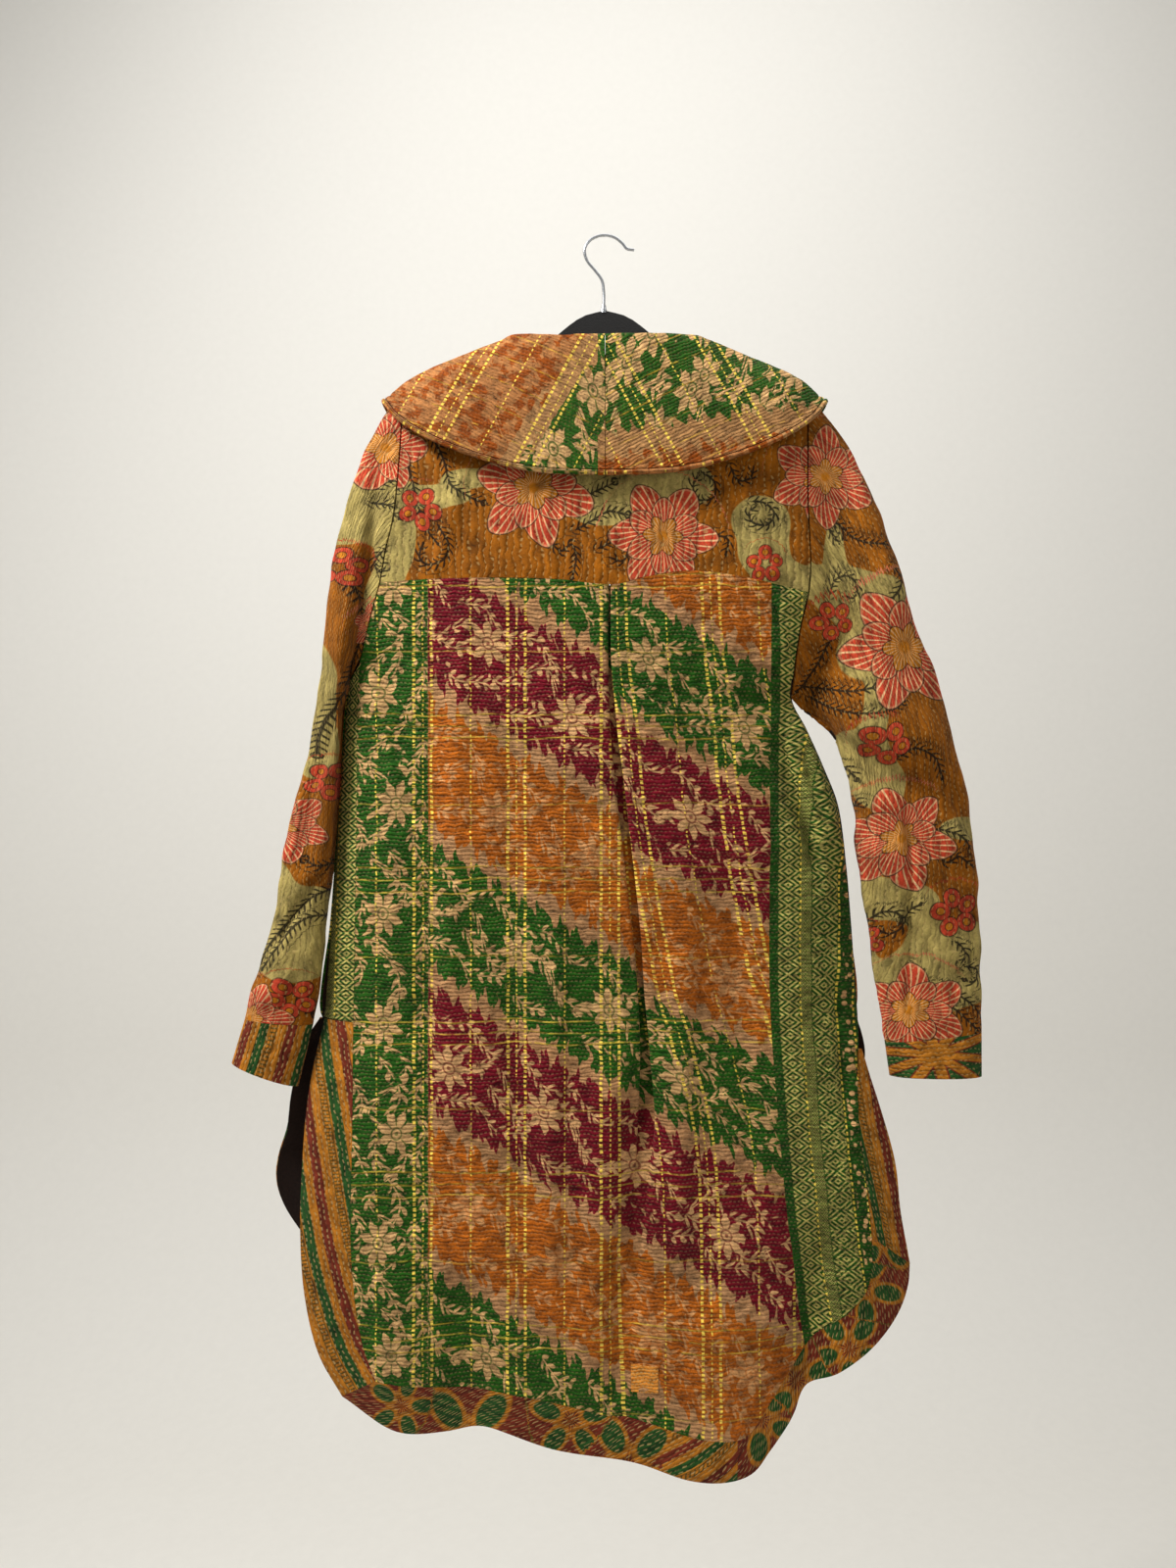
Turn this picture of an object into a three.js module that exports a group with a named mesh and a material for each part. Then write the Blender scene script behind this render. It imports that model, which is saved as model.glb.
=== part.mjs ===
// A kantha quilted coat, hanging with its back outwards on a slim padded hanger with a wire hook.
// Millimetres, +Z up. The origin lies inside the crown of the hook, where a peg or rod bears.
// +X is the wearer's right side, +Y is the front of the coat and -Y is its back.
import * as THREE from 'three';

// Driving dimensions
const CLOTH = 2.4; // the two quilted layers of the coat
const COLLAR_CLOTH = 3.2; // the collar is turned double
const SEAM = 0.3; // between two pieces at a seam
const SET_IN = 1.7; // between a sleeve and its armhole, where the walls meet at an angle
const PLEAT_TURN = 2.1; // radius of the cloth where the back pleat folds over
const QUILT_RISE = 0.5; // how far a ridge between two rows of running stitch stands up
const HANGER_THICK = 5;
const HANGER_REACH = 190; // where the straight of each arm ends
const HANGER_CLEAR = 3.3; // from the hanger's upper edge to the middle of the cloth on it
const WIRE = 3; // diameter of the hook's wire
const HOOK_STEPS = 30;
const PIPE_RADIUS = 2.6; // the rolled outer edge of the collar
const PIPE_GAP = 0.5;
const PIPE_SIDES = 8;
const PATCH_CLOTH = 1.0;
const PATCH_LIFT = 0.4; // more than a seam, because the patch's corners lie on a curved panel
const YOKE_GAP = 1;
const BORDER_GAP = 0.75;
const SHOULDER_TIP = 204; // distance of each armhole's top from the middle
const NECK_HALF = 78;
const NECK_DIP = 15;
const UNDERARM = -452;
const VENT_TOP = -793;
const GIRTH_SQUARENESS = 2.5;
const GIRTH_ROUNDING = 0.6;
const HANGER_ARM = 13; // depth of the arm below its upper edge
const HANGER_CROWN = 0.8; // how much deeper it is under the hook
const HANGER_CROWN_FROM = 20; // where that depth begins to fall away
const HANGER_CROWN_TO = 90;
const HANGER_STEPS = 20;
const TIP_STEPS = 4;
const WIRE_STEPS = 4; // each quarter of the wire's round
const ARM_BLEND = 0.3; // share of a sleeve over which the armhole's shape turns into a tube
const ARM_ROUNDING = 0.9;
const ARMHOLE_FULLNESS = 2; // how fast a sleeve's head opens from its upper and lower edges
const CUFF_FLARE = 0.1; // share by which a cuff widens towards its edge
const CUFF_FRONT_DROP = 9; // the front of a cuff hangs lower than its back
const CUFF_ROWS = 3;
const BORDER_COLUMNS = 2;
const COLLAR_REST = 4.2; // least distance between the middles of the collar's and the body's cloth
const COLLAR_FREE = 0.5; // the collar rests on the body from this far under the shoulder's line

const COLOURS = {
  velvet: 0x15130f,
  wire: 0xb9bcc0,
  ochre: 0xb9701c,
  green: 0x3c6b28,
  maroon: 0x7c1f2c,
  orange: 0xc9762b,
  stripe: 0x9c5a2c,
};

// The hanger's upper edge, which also sets the slope of the shoulders.
const HANGER_EDGE = [
  { x: 0, z: -76 },
  { x: 20, z: -81 },
  { x: 40, z: -94 },
  { x: 58, z: -109 },
  { x: 78, z: -118 },
  { x: 110, z: -126 },
  { x: 141, z: -134 },
  { x: 176, z: -150 },
  { x: 205, z: -165 },
  { x: 216, z: -173 },
];

// How far the cloth stands from the hanger's plane, by how far it has dropped from the shoulder.
const BODY_DEPTH = [
  { drop: 0, back: 0, front: 0 },
  { drop: 0.25, back: 3.2, front: 3.2 },
  { drop: 2, back: 6, front: 6 },
  { drop: 7, back: 10, front: 9 },
  { drop: 25, back: 18, front: 15 },
  { drop: 80, back: 29, front: 20 },
  { drop: 200, back: 38, front: 24 },
  { drop: 330, back: 46, front: 27 },
  { drop: 480, back: 52, front: 29 },
  { drop: 700, back: 50, front: 29 },
  { drop: 900, back: 46, front: 28 },
  { drop: 1150, back: 42, front: 28 },
];

// The widest line of the hanging coat at each height, which the depth falls away to.
const GIRTH = [
  { z: -150, left: -240, right: 238, frontLeft: -240, frontRight: 238 },
  { z: -280, left: -262, right: 262, frontLeft: -262, frontRight: 262 },
  { z: -350, left: -276, right: 272, frontLeft: -276, frontRight: 272 },
  { z: -400, left: -272, right: 246, frontLeft: -272, frontRight: 246 },
  { z: -451, left: -260, right: 206, frontLeft: -260, frontRight: 206 },
  { z: -470, left: -261, right: 190, frontLeft: -262, frontRight: 190 },
  { z: -500, left: -263, right: 204, frontLeft: -265, frontRight: 204 },
  { z: -540, left: -266, right: 222, frontLeft: -269, frontRight: 222 },
  { z: -580, left: -269, right: 237, frontLeft: -272, frontRight: 238 },
  { z: -640, left: -272, right: 245, frontLeft: -276, frontRight: 247 },
  { z: -700, left: -276, right: 250, frontLeft: -280, frontRight: 252 },
  { z: -793, left: -284, right: 257, frontLeft: -290, frontRight: 258 },
  { z: -850, left: -298, right: 268, frontLeft: -309, frontRight: 261 },
  { z: -900, left: -306, right: 288, frontLeft: -320, frontRight: 264 },
  { z: -945, left: -310, right: 300, frontLeft: -340, frontRight: 268 },
  { z: -1000, left: -314, right: 312, frontLeft: -342, frontRight: 272 },
  { z: -1030, left: -315, right: 316, frontLeft: -342, frontRight: 274 },
  { z: -1260, left: -318, right: 320, frontLeft: -342, frontRight: 276 },
];

// How far back and front stand from the side plane: sewn above the vents, open below them.
const SIDE_GAP = [
  { z: -780, back: SEAM / 2, front: SEAM / 2 },
  { z: -800, back: 1.5, front: 6 },
  { z: -830, back: 4, front: 11 },
  { z: -950, back: 7, front: 12 },
];

// The main folds of the back: a middle line from top to foot, a half width and a rise outwards.
const BACK_FOLDS = [
  { name: 'valley under the pleat', x0: 40, z0: -800, x1: 14, z1: -1150, width: 13, rise: -7 },
  { name: 'ridge beside it', x0: 4, z0: -800, x1: -18, z1: -1140, width: 17, rise: 6 },
  { name: 'tuck below the right armhole', x0: 158, z0: -500, x1: 214, z1: -640, width: 10, rise: -9 },
  { name: 'ridge over that tuck', x0: 176, z0: -490, x1: 232, z1: -640, width: 12, rise: 6 },
  { name: 'drag from the right yoke', x0: 172, z0: -380, x1: 166, z1: -520, width: 13, rise: 6 },
  { name: 'lobe at the lowest hem', x0: 100, z0: -1060, x1: 108, z1: -1255, width: 48, rise: 15 },
  { name: 'notch right of the lobe', x0: 208, z0: -1000, x1: 194, z1: -1165, width: 22, rise: -15 },
  { name: 'wave at the left hem', x0: -140, z0: -1050, x1: -128, z1: -1210, width: 26, rise: -7 },
  { name: 'ridge at the left hem', x0: -208, z0: -1020, x1: -204, z1: -1200, width: 30, rise: 8 },
  { name: 'ridge by the left strip', x0: -214, z0: -480, x1: -222, z1: -980, width: 22, rise: 5 },
  { name: 'hollow of the left back', x0: -168, z0: -450, x1: -176, z1: -1000, width: 14, rise: -4 },
  { name: 'hollow of the right back', x0: 96, z0: -430, x1: 120, z1: -960, width: 24, rise: -4 },
];

// The centre back pleat: where its left edge runs, how deep it is tucked, how far its edges
// stand apart, and how far the cloth turns there. Under 180 degrees it is an open valley.
const PLEAT = [
  { z: -361, x: 1, tuck: 30, slit: 7.4, turn: 180 },
  { z: -430, x: 0, tuck: 29, slit: 9, turn: 180 },
  { z: -500, x: 2, tuck: 26, slit: 13, turn: 180 },
  { z: -564, x: 8, tuck: 24, slit: 15, turn: 180 },
  { z: -650, x: 18, tuck: 19, slit: 15, turn: 180 },
  { z: -740, x: 28, tuck: 12, slit: 13, turn: 180 },
  { z: -820, x: 32, tuck: 6, slit: 10, turn: 150 },
  { z: -890, x: 30, tuck: 4, slit: 7, turn: 95 },
  { z: -960, x: 24, tuck: 3, slit: 6, turn: 55 },
  { z: -1060, x: 14, tuck: 3, slit: 6, turn: 28 },
  { z: -1200, x: 2, tuck: 3, slit: 6, turn: 14 },
];

const ARMHOLE_LEFT = [
  { x: -204, z: -162 },
  { x: -204, z: -193 },
  { x: -206, z: -238 },
  { x: -211, z: -291 },
  { x: -218, z: -321 },
  { x: -224, z: -356 },
  { x: -233, z: -388 },
  { x: -244, z: -428 },
  { x: -258, z: -452 },
];
const ARMHOLE_RIGHT = [
  { x: 204, z: -162 },
  { x: 203, z: -215 },
  { x: 202, z: -260 },
  { x: 203, z: -300 },
  { x: 204, z: -340 },
  { x: 202, z: -366 },
  { x: 194, z: -400 },
  { x: 190, z: -430 },
  { x: 188, z: -468 },
];

// The seam between yoke and back panel.
const YOKE_SEAM = [
  { x: -224, z: -356 },
  { x: -172, z: -354 },
  { x: -94, z: -354 },
  { x: -46, z: -356 },
  { x: 4, z: -361 },
  { x: 31, z: -354 },
  { x: 80, z: -347 },
  { x: 138, z: -353 },
  { x: 172, z: -360 },
  { x: 202, z: -366 },
];

// The hem border of the back, from the left vent round to the right one: the seam that joins it
// to the panel (ix, iz) and its outer edge (ox, oz), in three strips.
const BORDER_LEFT = [
  { ix: -250, iz: -793, ox: -283, oz: -793 },
  { ix: -249, iz: -867, ox: -298, oz: -870 },
  { ix: -250, iz: -940, ox: -304, oz: -950 },
  { ix: -251, iz: -1007, ox: -305, oz: -1012 },
  { ix: -247, iz: -1062, ox: -300, oz: -1070 },
  { ix: -239, iz: -1107, ox: -285, oz: -1124 },
  { ix: -225, iz: -1143, ox: -260, oz: -1163 },
];
const BORDER_FOOT = [
  { ix: -225, iz: -1143, ox: -260, oz: -1163 },
  { ix: -195, iz: -1145, ox: -203, oz: -1191 },
  { ix: -151, iz: -1148, ox: -156, oz: -1191 },
  { ix: -107, iz: -1151, ox: -115, oz: -1187 },
  { ix: -42, iz: -1162, ox: -46, oz: -1207 },
  { ix: 21, iz: -1178, ox: 27, oz: -1218 },
  { ix: 84, iz: -1190, ox: 84, oz: -1231 },
  { ix: 122, iz: -1190, ox: 140, oz: -1228 },
  { ix: 142, iz: -1170, ox: 160, oz: -1208 },
  { ix: 160, iz: -1147, ox: 183, oz: -1177 },
  { ix: 177, iz: -1129, ox: 197, oz: -1152 },
  { ix: 202, iz: -1100, ox: 231, oz: -1137 },
  { ix: 236, iz: -1078, ox: 266, oz: -1114 },
  { ix: 255, iz: -1058, ox: 292, oz: -1084 },
  { ix: 263, iz: -1030, ox: 303, oz: -1058 },
  { ix: 264, iz: -1006, ox: 305, oz: -1037 },
];
const BORDER_RIGHT = [
  { ix: 254, iz: -822, ox: 258, oz: -823 },
  { ix: 251, iz: -877, ox: 277, oz: -885 },
  { ix: 255, iz: -925, ox: 291, oz: -938 },
  { ix: 260, iz: -965, ox: 295, oz: -983 },
  { ix: 264, iz: -1006, ox: 305, oz: -1037 },
];

// The narrow strip at the left side above that border, in the same columns.
const SIDE_STRIP = [
  { ix: -246, iz: -436, ox: -258, oz: -453 },
  { ix: -248, iz: -480, ox: -264, oz: -510 },
  { ix: -248, iz: -600, ox: -269, oz: -580 },
  { ix: -249, iz: -700, ox: -276, oz: -692 },
  { ix: -250, iz: -793, ox: -284, oz: -793 },
];
// The right edge of the panel, from the underarm to the tip of the border.
const RIGHT_SIDE = [
  { x: 188, z: -469 },
  { x: 203, z: -500 },
  { x: 221, z: -540 },
  { x: 236, z: -580 },
  { x: 244, z: -640 },
  { x: 249, z: -700 },
  { x: 255, z: -793 },
  { x: 254, z: -822 },
];

// Each front, from its middle edge to the side. `left` and `right` are the two fronts' sides.
const FRONT_EDGE = [
  { x: 78, z: -115.8 },
  { x: 72, z: -150 },
  { x: 54, z: -220 },
  { x: 33, z: -310 },
  { x: 12, z: -430 },
  { x: 5, z: -500 },
  { x: 4, z: -760 },
  { x: 4, z: -1052 },
];
const FRONT_SIDE_LEFT = [
  { x: -259, z: -453 },
  { x: -270, z: -580 },
  { x: -279, z: -700 },
  { x: -289, z: -793 },
  { x: -276, z: -860 },
  { x: -280, z: -920 },
  { x: -292, z: -962 },
  { x: -270, z: -1008 },
];
const FRONT_SIDE_RIGHT = [
  { x: 188, z: -469 },
  { x: 236, z: -580 },
  { x: 249, z: -700 },
  { x: 255, z: -793 },
  { x: 228, z: -860 },
  { x: 226, z: -920 },
  { x: 226, z: -970 },
  { x: 206, z: -1014 },
];
const FRONT_FOOT = [
  { share: 0, rise: 0 },
  { share: 0.35, rise: 3 },
  { share: 0.7, rise: 6 },
  { share: 1, rise: 0 },
];
// The hem border of each front as its width outside the front's edge, by share of its length.
const FRONT_BORDER_LEFT = [
  { share: 0, width: 2 },
  { share: 0.08, width: 36 },
  { share: 0.2, width: 47 },
  { share: 0.5, width: 44 },
  { share: 1, width: 38 },
];
const FRONT_BORDER_RIGHT = [
  { share: 0, width: 2 },
  { share: 0.08, width: 28 },
  { share: 0.2, width: 40 },
  { share: 0.5, width: 44 },
  { share: 1, width: 38 },
];

// Sleeves seen flat: the outer and the inner edge from the armhole to the cuff's seam.
const SLEEVE_LEFT = {
  outer: [
    { x: -204, z: -166 },
    { x: -214, z: -177 },
    { x: -226, z: -193 },
    { x: -240, z: -222 },
    { x: -258, z: -272 },
    { x: -272, z: -337 },
    { x: -279, z: -397 },
    { x: -286, z: -457 },
    { x: -296, z: -517 },
    { x: -308, z: -577 },
    { x: -322, z: -637 },
    { x: -333, z: -697 },
    { x: -350, z: -752 },
    { x: -361, z: -793 },
  ],
  inner: [
    { x: -260, z: -451 },
    { x: -271, z: -462 },
    { x: -273, z: -517 },
    { x: -276, z: -563 },
    { x: -278, z: -617 },
    { x: -282, z: -687 },
    { x: -289, z: -757 },
    { x: -295, z: -798 },
  ],
  depth: [
    { v: 0, middle: 0, half: 20 },
    { v: 0.2, middle: -3, half: 25 },
    { v: 0.45, middle: -6, half: 22 },
    { v: 0.75, middle: -9, half: 19 },
    { v: 1, middle: -13, half: 15 },
  ],
};
const SLEEVE_RIGHT = {
  outer: [
    { x: 204, z: -166 },
    { x: 214, z: -177 },
    { x: 227, z: -193 },
    { x: 245, z: -220 },
    { x: 268, z: -278 },
    { x: 290, z: -338 },
    { x: 309, z: -397 },
    { x: 333, z: -457 },
    { x: 348, z: -517 },
    { x: 362, z: -567 },
    { x: 369, z: -617 },
    { x: 376, z: -697 },
    { x: 377, z: -757 },
    { x: 379, z: -806 },
  ],
  inner: [
    { x: 191, z: -466 },
    { x: 214, z: -492 },
    { x: 238, z: -526 },
    { x: 252, z: -565 },
    { x: 256, z: -616 },
    { x: 260, z: -655 },
    { x: 267, z: -694 },
    { x: 274, z: -753 },
    { x: 284, z: -816 },
  ],
  depth: [
    { v: 0, middle: 0, half: 20 },
    { v: 0.2, middle: -6, half: 30 },
    { v: 0.45, middle: -10, half: 28 },
    { v: 0.75, middle: -9, half: 22 },
    { v: 1, middle: -9, half: 17 },
  ],
};
// Folds of the sleeves, as on the back; the right one has the large fold above its elbow.
const SLEEVE_FOLDS = {
  left: [
    { x0: -232, z0: -240, x1: -240, z1: -420, width: 10, rise: -5 },
    { x0: -286, z0: -500, x1: -300, z1: -640, width: 9, rise: -4 },
    { x0: -318, z0: -660, x1: -330, z1: -780, width: 12, rise: 4 },
  ],
  right: [
    { x0: 212, z0: -462, x1: 350, z1: -532, width: 24, rise: 10 },
    { x0: 240, z0: -520, x1: 355, z1: -578, width: 20, rise: -9 },
    { x0: 275, z0: -560, x1: 300, z1: -680, width: 18, rise: 4 },
    { x0: 330, z0: -610, x1: 345, z1: -760, width: 20, rise: 4 },
    { x0: 220, z0: -390, x1: 300, z1: -450, width: 20, rise: -5 },
  ],
};

// Cuffs: the upper and lower ends of their outer and inner edges.
const CUFFS = {
  left: { ox0: -361, oz0: -793, ix0: -295, iz0: -798, ox1: -374, oz1: -837, ix1: -310, iz1: -860 },
  right: { ox0: 379, oz0: -806, ix0: 284, iz0: -816, ox1: 379, oz1: -851, ix1: 289, iz1: -850 },
};

// The collar's sections from the centre back, over the shoulder and down the front: where it is
// sewn on, where it rolls over, two places on its fall, and its edge.
const COLLAR = [
  {
    seam: [0.3, -26, -129.2],
    roll: [0.3, -31, -112],
    fall: [0.3, -42, -184],
    low: [0.3, -46, -222],
    edge: [0.3, -49, -250],
  },
  {
    seam: [40, -23.6, -124],
    roll: [44, -29, -111],
    fall: [55, -41, -183],
    low: [63, -45, -219],
    edge: [70, -47, -246],
  },
  {
    seam: [66, -13, -115.4],
    roll: [76, -20, -108],
    fall: [98, -35, -173],
    low: [114, -39, -206],
    edge: [130, -42, -230],
  },
  {
    seam: [76, -5, -109.6],
    roll: [94, -11, -106],
    fall: [132, -27, -156],
    low: [158, -31, -184],
    edge: [180, -33, -207],
  },
  {
    seam: [78, -2.5, -108.8],
    roll: [97, -6, -106.5],
    fall: [150, -15, -137],
    low: [184, -18, -160],
    edge: [207, -19, -186],
  },
  {
    seam: [79, 0, -108.4],
    roll: [98, 0, -106.5],
    fall: [160, 0, -129],
    low: [200, 0, -148],
    edge: [222, -1, -166],
  },
  {
    seam: [78, 2.5, -108.8],
    roll: [96, 6, -106.5],
    fall: [150, 15, -137],
    low: [186, 18, -160],
    edge: [212, 18, -186],
  },
  {
    seam: [77, 5, -109.8],
    roll: [93, 11, -107],
    fall: [132, 25, -158],
    low: [164, 28, -188],
    edge: [192, 28, -216],
  },
  {
    seam: [70, 14, -122],
    roll: [80, 21, -118],
    fall: [106, 31, -190],
    low: [128, 34, -234],
    edge: [152, 35, -276],
  },
  {
    seam: [54, 26, -213],
    roll: [60, 30, -206],
    fall: [78, 34, -256],
    low: [93, 36, -302],
    edge: [110, 37, -344],
  },
  {
    seam: [34, 29.5, -308],
    roll: [40, 33, -304],
    fall: [52, 36, -345],
    low: [61, 37, -384],
    edge: [70, 38, -416],
  },
  {
    seam: [16, 32, -408],
    roll: [19, 35, -406],
    fall: [25, 37, -424],
    low: [30, 38, -444],
    edge: [34, 39, -462],
  },
];

const HOOK = [
  { x: -1, z: -75.6 },
  { x: -1, z: -56 },
  { x: -3, z: -44 },
  { x: -10, z: -34 },
  { x: -18, z: -24 },
  { x: -20.5, z: -13 },
  { x: -15.5, z: -4 },
  { x: -7, z: 0.6 },
  { x: 1, z: 1.5 },
  { x: 10, z: -0.6 },
  { x: 18, z: -6.6 },
  { x: 22.5, z: -12 },
  { x: 30, z: -13.5 },
];

// The mended square on the right of the back.
const PATCH = { x0: 25, x1: 51, z0: -1148, z1: -1122, rows: 3, columns: 4 };

// Reads a column of a table at a place along its key column, on a smooth curve through the rows.
function read(rows, key, column, at) {
  const up = rows[rows.length - 1][key] > rows[0][key] ? 1 : -1;
  if (up * at <= up * rows[0][key]) return rows[0][column];
  if (up * at >= up * rows[rows.length - 1][key]) return rows[rows.length - 1][column];
  let i = 0;
  while (up * rows[i + 1][key] < up * at) i += 1;
  const slope = (a, b) => (b[column] - a[column]) / (b[key] - a[key]);
  const step = rows[i + 1][key] - rows[i][key];
  const here = slope(rows[i], rows[i + 1]);
  const before = i > 0 ? slope(rows[i - 1], rows[i]) : here;
  const after = i + 2 < rows.length ? slope(rows[i + 1], rows[i + 2]) : here;
  const ease = (a, b) => (a * b <= 0 ? 0 : (2 * a * b) / (a + b));
  const start = ease(before, here) * step;
  const end = ease(here, after) * step;
  const t = (at - rows[i][key]) / step;
  const rise = rows[i + 1][column] - rows[i][column];
  const bend = start - rise;
  const turn = rise - end;
  return rows[i][column] + t * (rise + (1 - t) * (bend * (1 - t) + turn * t));
}

function smoothstep(a, b, x) {
  return THREE.MathUtils.smoothstep(x, a, b);
}

// A curve through a table of x and z, as a function of the share of its length.
function outline(rows, xKey = 'x', zKey = 'z') {
  const points = rows.map((row) => new THREE.Vector3(row[xKey], 0, row[zKey]));
  const curve = new THREE.CatmullRomCurve3(points, false, 'centripetal');
  return (share) => curve.getPointAt(THREE.MathUtils.clamp(share, 0, 1));
}

// The flat place (x and z) inside four edges that meet at their ends.
function between(top, foot, left, right) {
  const corner = { tl: top(0), tr: top(1), fl: foot(0), fr: foot(1) };
  return (u, v) => {
    const across = top(u).multiplyScalar(1 - v).add(foot(u).multiplyScalar(v));
    const down = left(v).multiplyScalar(1 - u).add(right(v).multiplyScalar(u));
    const ends = corner.tl.clone().multiplyScalar((1 - u) * (1 - v));
    ends.addScaledVector(corner.tr, u * (1 - v));
    ends.addScaledVector(corner.fl, (1 - u) * v);
    ends.addScaledVector(corner.fr, u * v);
    return across.add(down).sub(ends);
  };
}

function shoulderZ(x) {
  return read(HANGER_EDGE, 'x', 'z', Math.abs(x)) + HANGER_CLEAR;
}

// The sum of soft ridges and troughs at a place, each fading out past its ends.
function foldRise(folds, x, z) {
  let rise = 0;
  for (const fold of folds) {
    const run = { x: fold.x1 - fold.x0, z: fold.z1 - fold.z0 };
    const length = Math.hypot(run.x, run.z);
    const along = ((x - fold.x0) * run.x + (z - fold.z0) * run.z) / length;
    const beside = ((x - fold.x0) * run.z - (z - fold.z0) * run.x) / length;
    const fade = smoothstep(-0.15, 0.2, along / length) * (1 - smoothstep(0.8, 1.15, along / length));
    rise += fold.rise * fade * Math.exp(-((beside / fold.width) ** 2));
  }
  return rise;
}

// The distance of the body's cloth from the hanger's plane: negative at the back.
function bodyY(x, z, side) {
  const left = read(GIRTH, 'z', side < 0 ? 'left' : 'frontLeft', z);
  const right = read(GIRTH, 'z', side < 0 ? 'right' : 'frontRight', z);
  const across = Math.min(Math.abs((2 * x - left - right) / (right - left)), 1);
  const swell = (1 - across ** GIRTH_SQUARENESS) ** GIRTH_ROUNDING;
  const depth = read(BODY_DEPTH, 'drop', side < 0 ? 'back' : 'front', shoulderZ(x) - z);
  const folds = side < 0 ? foldRise(BACK_FOLDS, x, z) : 0;
  return side * (read(SIDE_GAP, 'z', side < 0 ? 'back' : 'front', z) + (depth + folds) * swell);
}

// Lays a flat place on the back (side -1) or the front (side 1).
function onBody(place, side) {
  return new THREE.Vector3(place.x, bodyY(place.x, place.z, side), place.z);
}

// Outward directions of a grid of points, from its neighbours; a ring closes on itself.
function gridNormals(grid, ring) {
  const last = grid.length - 1;
  return grid.map((row, i) => row.map((_, j) => {
    const n = row.length;
    const east = ring ? row[(j + 1) % n] : row[Math.min(j + 1, n - 1)];
    const west = ring ? row[(j + n - 1) % n] : row[Math.max(j - 1, 0)];
    const south = grid[Math.min(i + 1, last)][j];
    const north = grid[Math.max(i - 1, 0)][j];
    const du = east.clone().sub(west);
    const dv = south.clone().sub(north);
    return du.cross(dv).normalize();
  }));
}

// Makes a closed wall round a grid of points. The grid's rows run so that the outside is on the
// side of (along the row) x (down the rows). `raise` lifts points of the outer face alone.
function cloth(grid, wall, { ring = false, raise = () => 0, lean = {} } = {}) {
  const normals = gridNormals(grid, ring);
  const rows = grid.length;
  const columns = grid[0].length;
  if (lean.top) normals[0] = normals[0].map(() => lean.top.clone());
  for (const [key, j] of [['first', 0], ['last', columns - 1]]) {
    if (lean[key]) normals.forEach((row, i) => { if (lean[key](i)) row[j] = lean[key](i); });
  }
  const points = [];
  for (const face of [1, -1]) {
    grid.forEach((row, i) => row.forEach((p, j) => {
      const reach = wall / 2 + (face > 0 ? raise(i, j) : 0);
      points.push(p.clone().addScaledVector(normals[i][j], face * reach));
    }));
  }
  const outer = (i, j) => i * columns + (j % columns);
  const inner = (i, j) => rows * columns + outer(i, j);
  const faces = [];
  const quad = (a, b, c, d) => faces.push(a, b, c, a, c, d);
  const spans = ring ? columns : columns - 1;
  for (let i = 0; i < rows - 1; i += 1) {
    for (let j = 0; j < spans; j += 1) {
      quad(outer(i, j), outer(i, j + 1), outer(i + 1, j + 1), outer(i + 1, j));
      quad(inner(i, j), inner(i + 1, j), inner(i + 1, j + 1), inner(i, j + 1));
    }
    if (!ring) {
      const end = columns - 1;
      quad(outer(i, 0), outer(i + 1, 0), inner(i + 1, 0), inner(i, 0));
      quad(outer(i + 1, end), outer(i, end), inner(i, end), inner(i + 1, end));
    }
  }
  for (let j = 0; j < spans; j += 1) {
    quad(outer(0, j + 1), outer(0, j), inner(0, j), inner(0, j + 1));
    quad(outer(rows - 1, j), outer(rows - 1, j + 1), inner(rows - 1, j + 1), inner(rows - 1, j));
  }
  const geometry = new THREE.BufferGeometry();
  const flat = points.flatMap((p) => [p.x, p.y, p.z]);
  geometry.setAttribute('position', new THREE.Float32BufferAttribute(flat, 3));
  geometry.setIndex(faces);
  return geometry;
}

// Rows for the back face its outside to -Y, so they run from right to left.
function facingBack(grid) {
  return grid.map((row) => [...row].reverse());
}

// Raises every second column, between two rows of the grid.
function ridges(first, end) {
  return (i, j) => (i >= first && i < end && j % 2 === 1 ? QUILT_RISE : 0);
}

function steps(count) {
  return Array.from({ length: count + 1 }, (_, i) => i / count);
}

const coat = new THREE.Group();

function add(name, geometry, colour, roughness = 0.9, metalness = 0) {
  geometry.computeVertexNormals();
  const material = new THREE.MeshStandardMaterial({ color: colour, roughness, metalness });
  const mesh = new THREE.Mesh(geometry, material);
  mesh.name = name;
  coat.add(mesh);
}

// Hanger
function hangerBody() {
  const shape = new THREE.Shape();
  const right = steps(HANGER_STEPS).map((t) => {
    const x = HANGER_REACH * t;
    return new THREE.Vector2(x, read(HANGER_EDGE, 'x', 'z', x));
  });
  const tip = right.at(-1);
  const round = steps(TIP_STEPS).map((t) => {
    const angle = Math.PI / 2 - t * Math.PI;
    const radius = HANGER_ARM / 2;
    const y = tip.y - radius + radius * Math.sin(angle);
    return new THREE.Vector2(tip.x + radius * Math.cos(angle), y);
  });
  const crown = (x) => 1 - smoothstep(HANGER_CROWN_FROM, HANGER_CROWN_TO, x);
  const deep = (x) => HANGER_ARM * (1 + HANGER_CROWN * crown(x));
  const below = right.slice(0, -1).reverse().map((p) => new THREE.Vector2(p.x, p.y - deep(p.x)));
  const half = [...right.slice(0, -1), ...round, ...below];
  const mirrored = half.slice(1, -1).reverse().map((p) => new THREE.Vector2(-p.x, p.y));
  shape.setFromPoints([...half, ...mirrored]);
  const geometry = new THREE.ExtrudeGeometry(shape, { depth: HANGER_THICK, bevelEnabled: false });
  geometry.translate(0, 0, -HANGER_THICK / 2);
  geometry.rotateX(Math.PI / 2);
  return geometry;
}

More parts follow.
